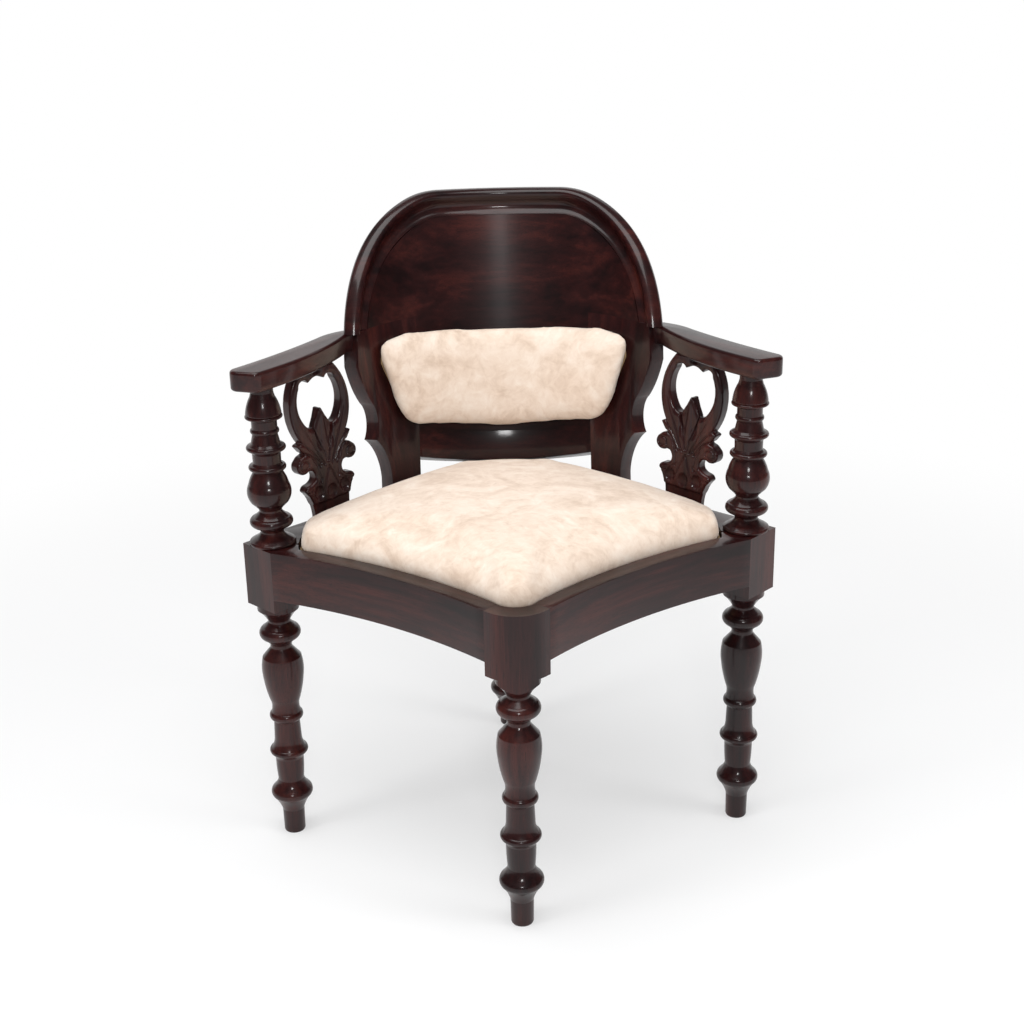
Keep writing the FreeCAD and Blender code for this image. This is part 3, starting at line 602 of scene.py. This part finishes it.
def smooth_loop(knots: Sequence[tuple[float, float]], steps: int) -> list[Vector]:
    """A smooth open line through its knots (Catmull-Rom).

    Args:
        knots: The points that the line goes through.
        steps: How many points each stretch gets.

    Returns:
        The line's points.
    """
    points = [Vector(knot) for knot in (knots[0], *knots, knots[-1])]
    line = []
    for p, q, r, t in zip(points, points[1:], points[2:], points[3:]):
        for step in range(steps):
            u = step / steps
            line.append(0.5 * (2 * q + (r - p) * u + (2 * p - 5 * q + 4 * r - t) * u * u
                               + (3 * q - p - 3 * r + t) * u ** 3))
    return line + [points[-1]]


# ---------------------------------------------------------------- sub-assemblies


@dataclass
class BackRim:
    """The rolled rim of the back: one broad roll in front that flows into a cove."""

    rise: float = 231.0
    foot: float = 50.0
    arcs: tuple[tuple[float, float], ...] = ((1500.0, 3.3), (121.0, 24.0), (232.0, 62.7))
    stations: int = 240
    cut_level: float = 689.0
    front: tuple[tuple[float, float], ...] = (
        (0.0, 240.0), (-1.4, 232.5), (-4.6, 227.0), (-9.0, 224.6), (-13.5, 225.9), (-17.5, 229.4),
        (-21.5, 233.2), (-26.0, 235.2), (-31.0, 234.8), (-35.2, 232.9), (-38.0, 231.9))
    behind: tuple[tuple[float, float], ...] = (
        (-38.0, 247.0), (-31.0, 250.6), (-24.0, 252.6), (-16.0, 252.2), (-8.5, 249.0), (-2.6, 244.8), (0.0, 240.0))

    def station(self, run: float) -> tuple[float, float, float, float]:
        """Where the outer line is, this far from the middle of the top.

        Args:
            run: The distance along the line, in millimetres, minus to the left.

        Returns:
            The distance along the surface, the level, and the direction out of the arch.
        """
        left, along, level, heading = abs(run), 0.0, self.rise, 0.0
        for radius, sweep in self.arcs:
            part = min(left / radius, math.radians(sweep))
            along += radius * (math.sin(heading + part) - math.sin(heading))
            level -= radius * (math.cos(heading) - math.cos(heading + part))
            heading += part
            left -= radius * part
        side = math.copysign(1.0, run)
        return side * along, level - left, side * math.sin(heading), math.cos(heading)

    def build(self, finish: bpy.types.Material) -> None:
        """Sweep the section along the arch and cut its feet level with the arms.

        Args:
            finish: The rim's wood.
        """
        section = smooth_loop(self.front, 4) + smooth_loop(self.behind, 3)
        length = sum(radius * math.radians(sweep) for radius, sweep in self.arcs) + self.foot
        bpy.ops.object.select_all(action="DESELECT")
        bpy.ops.mesh.primitive_grid_add(x_subdivisions=self.stations, y_subdivisions=len(section) - 1, size=1.0)
        piece = bpy.context.active_object
        piece.name = "back_rim_rolled"
        for vertex in piece.data.vertices:
            run = length * 2.0 * vertex.co.x
            out, radius = section[round((vertex.co.y + 0.5) * (len(section) - 1))]
            along, level, out_along, out_level = self.station(run)
            angle = math.degrees((along + out * out_along) / TUBE.radius)
            vertex.co = TUBE.point(radius, angle, level + out * out_level)
        alone(piece)
        bpy.ops.object.mode_set(mode="EDIT")
        bpy.ops.mesh.select_all(action="SELECT")
        bpy.ops.mesh.remove_doubles(threshold=MERGE_SWEEP)
        bpy.ops.mesh.bisect(
            plane_co=(0.0, 0.0, self.cut_level * MM), plane_no=(0.0, 0.0, 1.0), clear_inner=True, use_fill=True)
        bpy.ops.mesh.select_all(action="SELECT")
        bpy.ops.mesh.normals_make_consistent(inside=False)
        bpy.ops.object.mode_set(mode="OBJECT")
        bpy.ops.object.shade_smooth_by_angle(angle=math.radians(50.0))
        settle(piece, finish, "frame_wood", "back_rim")


@dataclass
class Arms:
    """The two waisted arm boards with rounded corners and soft edges."""

    low: float = 662.0
    high: float = 689.0
    rounding: float = 4.2
    spacing: int = 10
    start: tuple[float, float] = (352.0, -16.0)
    steps: tuple[tuple[float, ...], ...] = (
        (301.5, 54.0, 258.0, 127.0), (243.5, 150.0, 221.0, 169.0), (198.0, 156.0), (209.0, 149.0, 217.5, 137.0),
        (256.5, 42.0, 311.0, -37.0), (317.0, -42.3, 324.0, -42.6), (343.0, -36.0), (352.6, -28.5, 352.0, -16.0))

    def outline(self, side: float) -> list[Vector]:
        """The plan of one arm.

        Args:
            side: Minus one for the left arm and one for the right.

        Returns:
            The points of its closed line, in millimetres.
        """
        points = [Vector(self.start)]
        for step in self.steps:
            last = Vector(step[-2:])
            if len(step) == 2:
                points.append(last)
            else:
                points += arc_points(points[-1], Vector(step[:2]), last, self.spacing)
        return [Vector((side * p.x, p.y - MIDDLE_Y)) for p in points[1:]]

    def build(self, side: float, name: str, node: str, finish: bpy.types.Material) -> None:
        """Push one arm up from its plan and round its edges.

        Args:
            side: Minus one for the left arm and one for the right.
            name: The piece's name.
            node: The CAD node that it stands for.
            finish: Its wood.
        """
        points = self.outline(side)
        bpy.ops.object.select_all(action="DESELECT")
        bpy.ops.mesh.primitive_circle_add(vertices=len(points), radius=1.0, fill_type="NGON")
        piece = bpy.context.active_object
        piece.name = name
        for vertex, point in zip(piece.data.vertices, points):
            vertex.co = mm(point.x, point.y, self.low)
        bpy.ops.object.mode_set(mode="EDIT")
        bpy.ops.mesh.select_all(action="SELECT")
        bpy.ops.mesh.extrude_region_move(TRANSFORM_OT_translate={"value": (0.0, 0.0, (self.high - self.low) * MM)})
        bpy.ops.mesh.select_all(action="SELECT")
        bpy.ops.mesh.normals_make_consistent(inside=False)
        bpy.ops.object.mode_set(mode="OBJECT")
        soften(piece, self.rounding * MM, angle=60.0, segments=5, clamp=False)
        settle(piece, finish, "frame_wood", node)


@dataclass
class CarvedSplat:
    """A pierced splat with leaves, scrolls and grooves carved into both faces, in millimetres."""

    foot: Place = (-244.8, 83.4 - MIDDLE_Y, 442.4)
    turn: float = 43.1
    lean_along: float = 3.3
    lean_out: float = 2.6
    half_thick: float = 10.0
    voxel: float = 0.00115
    deepest: float = 7.2
    grooves: tuple[tuple[float, float, float, tuple[tuple[float, float], ...]], ...] = (
        (3.6, 3.4, 0.4, ((6, 526), (12.5, 541), (17, 553), (25.5, 570), (33.5, 587), (38, 600))),
        (3.8, 2.8, 5.0, ((1.5, 530), (4, 543), (8.5, 556), (13, 570), (15.5, 580))),
        (3.4, 3.2, 2.2, ((11, 529), (20, 543), (30, 556), (38.5, 564.5))),
        (3.4, 3.2, 3.2, ((14, 525), (20, 536), (28, 545), (35, 549))),
        (3.0, 2.8, 2.8, ((15, 503), (16.5, 515), (18.5, 528), (24, 538))),
        (3.4, 2.2, 1.2, ((14, 508), (24, 499), (34, 495), (42, 491))),
        (3.6, 2.8, 1.4, ((0, 523), (5, 512), (10, 498), (13, 488))),
        (2.4, 0.9, 0.5, ((2.2, 602), (4.0, 585), (5.5, 565), (4.0, 548))),
        (2.2, 0.8, 0.4, ((22, 568), (29, 590), (32, 612), (31, 630))),
    )
    scoops: tuple[tuple[float, float, float, float, float], ...] = (
        (0.0, 486.0, 8.5, 11.0, 3.8), (22.0, 489.0, 8.5, 11.0, 4.6))
    scroll: tuple[float, float] = (40.5, 533.0)
    plate_top: float = 476.0
    plate_slope: float = 3.0
    plate_drop: float = 2.5
    bud_foot: float = 546.0
    bud_tip: float = 606.0
    bud_drop: float = 2.6

    def place(self) -> Matrix:
        """The left splat's place in the frame, from its own upright millimetres."""
        return (Matrix.Translation(self.foot) @ Matrix.Rotation(math.radians(self.turn), 4, "Z")
                @ Matrix.Rotation(-math.radians(self.lean_out), 4, "X")
                @ Matrix.Rotation(-math.radians(self.lean_along), 4, "Y")
                @ Matrix.Translation((0.0, 0.0, -self.foot[2])))

    def cut_by(self, width: float, first: float, last: float, line: Sequence[tuple[float, float]],
               across: np.ndarray, level: np.ndarray) -> np.ndarray:
        """How deep one groove is at every point.

        Args:
            width: The groove's width.
            first: Its depth where it starts.
            last: Its depth where it ends.
            line: Its points.
            across: The points' distances from the middle line.
            level: The points' heights.

        Returns:
            The depths.
        """
        deep = np.zeros_like(across)
        count = len(line) - 1
        for index, ((x0, z0), (x1, z1)) in enumerate(zip(line, line[1:])):
            run = (x1 - x0) ** 2 + (z1 - z0) ** 2
            share = np.clip(((across - x0) * (x1 - x0) + (level - z0) * (z1 - z0)) / run, 0.0, 1.0)
            off = np.hypot(across - x0 - share * (x1 - x0), level - z0 - share * (z1 - z0))
            here = first + (last - first) * (index + share) / count
            deep = np.maximum(deep, here * (0.5 + 0.5 * np.cos(np.pi * np.clip(2.0 * off / width, 0.0, 1.0))))
        return deep

    def depth(self, across: np.ndarray, level: np.ndarray, edge: np.ndarray) -> np.ndarray:
        """How far the carving goes below the board's face.

        Args:
            across: The points' distances from the middle line.
            level: Their heights.
            edge: Their distances from the board's edge.

        Returns:
            The depths.
        """
        deep = 2.4 * np.clip(1.0 - edge / 7.0, 0.0, 1.0) ** 2 + 1.1 * np.clip(1.0 - edge / 1.6, 0.0, 1.0) ** 2
        cut = np.zeros_like(across)
        for width, first, last, line in self.grooves:
            cut = np.maximum(cut, self.cut_by(width, first, last, line, across, level))
        x, z = self.scroll
        turns = [(math.radians(200.0 - 340.0 * step / 30), 8.0 - 3.0 * step / 30) for step in range(31)]
        spiral = [(x + r * math.cos(turn), z + r * math.sin(turn)) for turn, r in turns]
        cut = np.maximum(cut, self.cut_by(2.8, 3.0, 2.6, spiral, across, level))
        for middle, height, wide, tall, most in self.scoops:
            off = ((across - middle) / wide) ** 2 + ((level - height) / tall) ** 2
            cut = np.maximum(cut, most * np.clip(1.0 - off, 0.0, 1.0) ** 0.7)
        plate = np.clip((self.plate_top - level) / self.plate_slope, 0.0, 1.0)
        plain = level < self.plate_top - 2.0
        cut = np.where(plain, 0.0, cut) + self.plate_drop * plate * plate * (3.0 - 2.0 * plate)
        bud = np.clip(across / 8.0, 0.0, 1.0) * np.clip((level - self.bud_foot) / 16.0, 0.0, 1.0) * (across < 15.0)
        return np.minimum(deep + cut + self.bud_drop * bud * (level < self.bud_tip), self.deepest)

    def build(self, side: float, name: str, node: str, finish: bpy.types.Material) -> None:
        """Carve one splat out of its board.

        Args:
            side: One for the left splat and minus one for its mirror image.
            name: The piece's name.
            node: The CAD node that it stands for.
            finish: Its wood.
        """
        piece = copy_of(node, name)
        remeshed(piece, self.voxel)
        place = self.place()
        back = place.inverted()
        own = [back @ (Vector((side * v.co.x, v.co.y, v.co.z)) / MM) for v in piece.data.vertices]
        walls = [p for p in own if abs(p.y) < self.half_thick - 1.8 and 445.5 < p.z < 659.0]
        tree = KDTree(len(walls))
        for index, p in enumerate(walls):
            tree.insert((p.x, 0.0, p.z), index)
        tree.balance()
        edge = np.array([tree.find((p.x, 0.0, p.z))[2] for p in own])
        across = np.abs(np.array([p.x for p in own]))
        level = np.array([p.z for p in own])
        keep = 1.0 - self.depth(across, level, edge) / self.half_thick
        for vertex, p, share in zip(piece.data.vertices, own, keep):
            moved = place @ Vector((p.x, p.y * float(share), p.z)) * MM
            vertex.co = (side * moved.x, moved.y, moved.z)
        alone(piece)
        smooth = piece.modifiers.new("smooth", "SMOOTH")
        smooth.factor = 0.5
        smooth.iterations = 2
        bpy.ops.object.modifier_apply(modifier=smooth.name)
        bpy.ops.object.shade_smooth()
        settle(piece, finish, "frame_wood", node)


@dataclass
class WoodWork:
    """Every carried-over or softened wooden node with its grain and edge rounding."""

    rounding: float = 0.0012
    seam_slack: float = 0.8
    seam_bottom: float = 0.45
    softened: dict[str, tuple[Grain, str]] = field(default_factory=lambda: {
        "front_left_rail": (Grain.FRONT_LEFT, "frame_wood"),
        "front_right_rail": (Grain.FRONT_RIGHT, "frame_wood"),
        "rear_left_rail": (Grain.REAR_LEFT, "frame_wood"),
        "rear_right_rail": (Grain.REAR_RIGHT, "frame_wood"),
        "left_back_stile": (Grain.UPRIGHT, "frame_wood"),
        "right_back_stile": (Grain.UPRIGHT, "frame_wood"),
        "back_bottom_rail": (Grain.ACROSS, "frame_wood"),
    })
    plain: dict[str, tuple[Grain, str]] = field(default_factory=lambda: {
        "front_leg": (Grain.UPRIGHT, "leg_wood"),
        "rear_leg": (Grain.UPRIGHT, "leg_wood"),
        "left_leg": (Grain.UPRIGHT, "leg_wood"),
        "right_leg": (Grain.UPRIGHT, "leg_wood"),
    })

    def at_seam(self, middle: Vector) -> bool:
        """Whether an edge lies in the joint between a stile and the panel or the bottom rail."""
        off = abs(abs(TUBE.angle_of(middle)) - TUBE.seam_angle)
        return off < self.seam_slack and middle.z > self.seam_bottom

    def build(self) -> None:
        """Soften, dress or model each wooden piece."""
        finishes = {grain: Rosewood(f"rosewood_{grain.name.lower()}", grain).material() for grain in Grain}
        for node, (grain, slot) in self.softened.items():
            piece = copy_of(node, f"{node}_dressed")
            soften(piece, self.rounding, self.at_seam)
            settle(piece, finishes[grain], slot, node)
        for node, (grain, slot) in self.plain.items():
            dress(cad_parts[node], finishes[grain])
        panel = Rosewood("rosewood_panel", Grain.ACROSS, balance=-0.03, rough=0.46, coat=0.16, coat_rough=0.26)
        dress(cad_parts["back_panel"], panel.material())
        BackRim().build(finishes[Grain.ACROSS])
        Arms().build(-1.0, "left_arm_shaped", "left_arm", finishes[Grain.ARM_LEFT])
        Arms().build(1.0, "right_arm_shaped", "right_arm", finishes[Grain.ARM_RIGHT])
        CarvedSplat().build(1.0, "left_splat_carved", "left_splat", finishes[Grain.UPRIGHT])
        CarvedSplat().build(-1.0, "right_splat_carved", "right_splat", finishes[Grain.UPRIGHT])


@dataclass
class Upholstery:
    """The drop-in seat's cushion and the back pad, each swollen by a short cloth simulation."""

    voxel: float = 0.005
    pressure: float = 4.0
    stretch: float = 14.0
    shear: float = 6.0
    bending: float = 0.6
    held_rise: float = 0.010
    frames: int = 20
    fill: float = 0.75

    def swell(self, piece: bpy.types.Object, held: Callable[[Vector], bool], most: float) -> None:
        """Blow a closed form up a little with the cloth simulator.

        Args:
            piece: The form.
            held: Says whether a point is held still.
            most: How far a point may move, in metres.
        """
        group = piece.vertex_groups.new(name="held")
        group.add([v.index for v in piece.data.vertices if held(v.co)], 1.0, "REPLACE")
        before = [v.co.copy() for v in piece.data.vertices]
        cloth = piece.modifiers.new("cloth", "CLOTH")
        settings = cloth.settings
        settings.quality = 5
        settings.mass = 0.3
        settings.tension_stiffness = self.stretch
        settings.compression_stiffness = self.stretch
        settings.shear_stiffness = self.shear
        settings.bending_stiffness = self.bending
        settings.use_pressure = True
        settings.uniform_pressure_force = self.pressure
        settings.effector_weights.gravity = 0.0
        settings.vertex_group_mass = group.name
        cloth.point_cache.frame_start = 1
        cloth.point_cache.frame_end = self.frames
        for step in range(1, self.frames + 1):
            bpy.context.scene.frame_set(step)
        evaluated = piece.evaluated_get(bpy.context.evaluated_depsgraph_get())
        after = [v.co.copy() for v in evaluated.data.vertices]
        piece.modifiers.remove(cloth)
        bpy.context.scene.frame_set(1)
        for vertex, start, end in zip(piece.data.vertices, before, after):
            move = end - start
            if move.length > most:
                move = move.normalized() * most
            vertex.co = start + move

    def finish_form(self, piece: bpy.types.Object, passes: int) -> None:
        """Smooth a swollen form by a number of passes and subdivide it once."""
        alone(piece)
        smooth = piece.modifiers.new("smooth", "CORRECTIVE_SMOOTH")
        smooth.iterations = passes
        smooth.use_only_smooth = True
        bpy.ops.object.modifier_apply(modifier=smooth.name)
        divide = piece.modifiers.new("divide", "SUBSURF")
        divide.levels = 1
        divide.render_levels = 1
        bpy.ops.object.modifier_apply(modifier=divide.name)
        bpy.ops.object.shade_smooth()

    def make(self, node: str, name: str, held: Callable[[Vector], bool], most: float, passes: int) -> None:
        """Make one soft piece from its CAD form.

        Args:
            node: The CAD node.
            name: The piece's name.
            held: Says whether a point is held still by the board under it.
            most: How far a point may move, in metres.
            passes: How often the form is smoothed.
        """
        piece = copy_of(node, name)
        remeshed(piece, self.voxel)
        self.swell(piece, held, most)
        self.finish_form(piece, passes)
        settle(piece, self.cover, "upholstery", node)

    def build(self) -> None:
        """Make the cushion and the pad."""
        self.cover = Suede("cream_suede").material()
        low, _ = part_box("seat_cushion")
        self.make("seat_cushion", "seat_cushion_cover", lambda p: p.z < low.z + self.held_rise, 0.003, 8)
        self.make("back_pad", "back_pad_cover", lambda p: False, 0.003, 34)


@dataclass
class HiddenWork:
    """The boards, blocks, cloth, dowels and screws that the frame hides."""

    def build(self) -> None:
        """Dress each hidden node."""
        board = PlainWood("seat_plywood").material()
        block = PlainWood("glue_block_wood", (0.40, 0.25, 0.13), (0.22, 0.12, 0.06)).material()
        beech = PlainWood("dowel_beech", (0.60, 0.42, 0.26), (0.44, 0.28, 0.15), Grain.UPRIGHT).material()
        cloth = BlackCloth("dust_cloth_black").material()
        steel = ScrewSteel("screw_steel_dull").material()
        finishes = {
            "seat_board": board, "back_pad_board": board, "seat_dust_cover": cloth,
            "left_corner_block": block, "right_corner_block": block,
            "front_corner_block": block, "rear_corner_block": block,
            "splat_dowels": beech, "stile_dowels": beech, "arm_dowels": beech, "rim_dowels": beech,
            "pad_screws": steel, "seat_screws": steel, "corner_block_screws": steel,
        }
        for node, finish in finishes.items():
            dress(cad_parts[node], finish)
            log.info("%s: carried over", node)


# ---------------------------------------------------------------- studio


@dataclass
class Studio:
    """A pale floor and backdrop, soft lamps and the camera."""

    floor_radius: float = 7.0
    lens: float = 55.99
    eye: Place = (-0.0465, -2.0250, 1.2320)
    yaw: float = 0.024788
    pitch: float = 0.362859
    roll: float = -0.020039
    fill: float = 0.42
    dim: float = 0.10

    def camera(self) -> None:
        """Stand the camera where the photograph was taken from."""
        sight = Vector((
            math.sin(self.yaw) * math.cos(self.pitch),
            math.cos(self.yaw) * math.cos(self.pitch),
            -math.sin(self.pitch)))
        level = Vector((math.cos(self.yaw), -math.sin(self.yaw), 0.0))
        upward = level.cross(sight)
        right = math.cos(self.roll) * level + math.sin(self.roll) * upward
        above = -math.sin(self.roll) * level + math.cos(self.roll) * upward
        data = bpy.data.cameras.new("camera")
        data.lens = self.lens
        data.sensor_width = 36.0
        data.clip_start = 0.05
        data.clip_end = 100.0
        camera = bpy.data.objects.new("camera", data)
        turn = Matrix((right, above, -sight)).transposed().to_4x4()
        camera.matrix_world = Matrix.Translation(Vector(self.eye)) @ turn
        bpy.context.scene.collection.objects.link(camera)
        bpy.context.scene.camera = camera

    def floor(self) -> None:
        """Lay a round floor that keeps the shadow and fades into the white backdrop."""
        bpy.ops.object.select_all(action="DESELECT")
        bpy.ops.mesh.primitive_circle_add(vertices=96, radius=self.floor_radius, fill_type="NGON", location=(0, 0, 0))
        floor = bpy.context.active_object
        floor.name = "floor"
        recipe = Recipe("floor_paper")
        place = recipe.object_place()
        far = Signal(recipe, recipe.node("ShaderNodeVectorMath", {"operation": "LENGTH"}, {0: place}).outputs[1])
        lit = recipe.node("ShaderNodeBsdfDiffuse", {}, {"Color": (0.86, 0.86, 0.86, 1.0)})
        plain = recipe.node("ShaderNodeEmission", {}, {"Color": (1.0, 1.0, 1.0, 1.0), "Strength": 1.0})
        path = recipe.node("ShaderNodeLightPath")
        seen = Signal(recipe, path.outputs["Is Camera Ray"]).high(Signal(recipe, path.outputs["Is Glossy Ray"]))
        seen = seen.high(Signal(recipe, path.outputs["Is Transmission Ray"]))
        share = seen * (0.45 + 0.55 * far.ramp(0.7, 1.9))
        mixed = recipe.node("ShaderNodeMixShader", {}, {0: share, 1: lit.outputs[0], 2: plain.outputs[0]})
        recipe.node("ShaderNodeOutputMaterial", {}, {"Surface": mixed.outputs[0]})
        dress(floor, recipe.material)

    def backdrop(self) -> None:
        """Hang a wide white backdrop well behind the chair."""
        bpy.ops.object.select_all(action="DESELECT")
        bpy.ops.mesh.primitive_plane_add(size=1.0, location=(0.0, 5.0, 2.6), rotation=(math.radians(90.0), 0.0, 0.0))
        hung = bpy.context.active_object
        hung.name = "backdrop"
        hung.scale = (14.0, 5.6, 1.0)
        recipe = Recipe("backdrop_paper")
        recipe.node("ShaderNodeOutputMaterial", {}, {"Surface": self.white(recipe, 0.5)})
        dress(hung, recipe.material)

    @staticmethod
    def white(recipe: Recipe, other: float) -> bpy.types.NodeSocket:
        """White light to camera, glossy and transmitted rays, and weaker light to the rest.

        Args:
            recipe: The material to add it to.
            other: The strength for the other rays.

        Returns:
            The shader's socket.
        """
        path = recipe.node("ShaderNodeLightPath")
        seen = Signal(recipe, path.outputs["Is Camera Ray"]).high(Signal(recipe, path.outputs["Is Glossy Ray"]))
        seen = seen.high(Signal(recipe, path.outputs["Is Transmission Ray"]))
        strength = seen * (1.0 - other) + other
        return recipe.node("ShaderNodeEmission", {}, {"Color": (1.0, 1.0, 1.0, 1.0), "Strength": strength}).outputs[0]

    def world(self) -> None:
        """A white surround to the camera and a soft even light to the object."""
        world = bpy.data.worlds.new("surround")
        bpy.context.scene.world = world
        world.use_nodes = True
        nodes, links = world.node_tree.nodes, world.node_tree.links
        nodes.clear()
        path = nodes.new("ShaderNodeLightPath")
        soft = nodes.new("ShaderNodeBackground")
        soft.inputs[0].default_value = (0.97, 0.98, 1.0, 1.0)
        output = nodes.new("ShaderNodeOutputWorld")
        seen = self.added(nodes, links, path.outputs["Is Camera Ray"], 1.0 - self.fill, self.fill)
        strength = self.added(nodes, links, path.outputs["Is Glossy Ray"], self.dim - self.fill, seen)
        links.new(strength, soft.inputs[1])
        links.new(soft.outputs[0], output.inputs[0])

    @staticmethod
    def added(nodes: bpy.types.Nodes, links: bpy.types.NodeLinks, socket: bpy.types.NodeSocket, share: float,
              base: bpy.types.NodeSocket | float) -> bpy.types.NodeSocket:
        """A socket times a share, plus a base.

        Args:
            nodes: The world's nodes.
            links: The world's links.
            socket: The socket that is scaled.
            share: What it is multiplied by.
            base: What is added, a number or a socket.

        Returns:
            The sum's socket.
        """
        node = nodes.new("ShaderNodeMath")
        node.operation = "MULTIPLY_ADD"
        links.new(socket, node.inputs[0])
        node.inputs[1].default_value = share
        if isinstance(base, float):
            node.inputs[2].default_value = base
        else:
            links.new(base, node.inputs[2])
        return node.outputs[0]

    def lamp(self, name: str, place: Place, aim: Place, size: tuple[float, float], power: float,
             mirrored: bool = True) -> None:
        """Hang one soft box.

        Args:
            name: The lamp's name.
            place: Where it hangs.
            aim: What it points at.
            size: Its width and height.
            power: Its power in watts.
            mirrored: Whether glossy surfaces show it.
        """
        data = bpy.data.lights.new(name, "AREA")
        data.shape = "RECTANGLE"
        data.size, data.size_y = size
        data.energy = power
        lamp = bpy.data.objects.new(name, data)
        lamp.location = place
        lamp.visible_glossy = mirrored
        lamp.rotation_euler = (Vector(aim) - Vector(place)).to_track_quat("-Z", "Y").to_euler()
        bpy.context.scene.collection.objects.link(lamp)

    def build(self) -> None:
        """Set the whole studio up."""
        self.camera()
        self.floor()
        self.backdrop()
        self.world()
        self.lamp("top_box", (-0.3, -0.4, 2.9), (0.0, 0.0, 0.5), (2.2, 1.8), 50.0)
        self.lamp("front_box", (0.05, -3.0, 2.0), (0.0, 0.0, 0.6), (0.5, 0.5), 26.0)
        self.lamp("left_box", (-2.6, -1.3, 1.5), (0.0, 0.0, 0.5), (1.0, 1.6), 26.0, False)
        self.lamp("right_box", (2.6, -1.0, 1.6), (0.0, 0.0, 0.5), (1.0, 1.6), 26.0, False)
        log.info("studio ready")


# ---------------------------------------------------------------- main


def main() -> None:
    """Build every piece in order."""
    logging.basicConfig(level=logging.INFO, format="%(name)s %(message)s")
    scene = bpy.context.scene
    scene.view_settings.view_transform = "Standard"
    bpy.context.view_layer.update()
    Studio().build()
    WoodWork().build()
    Upholstery().build()
    HiddenWork().build()
    bpy.ops.object.select_all(action="DESELECT")


if __name__ == "__main__":
    main()
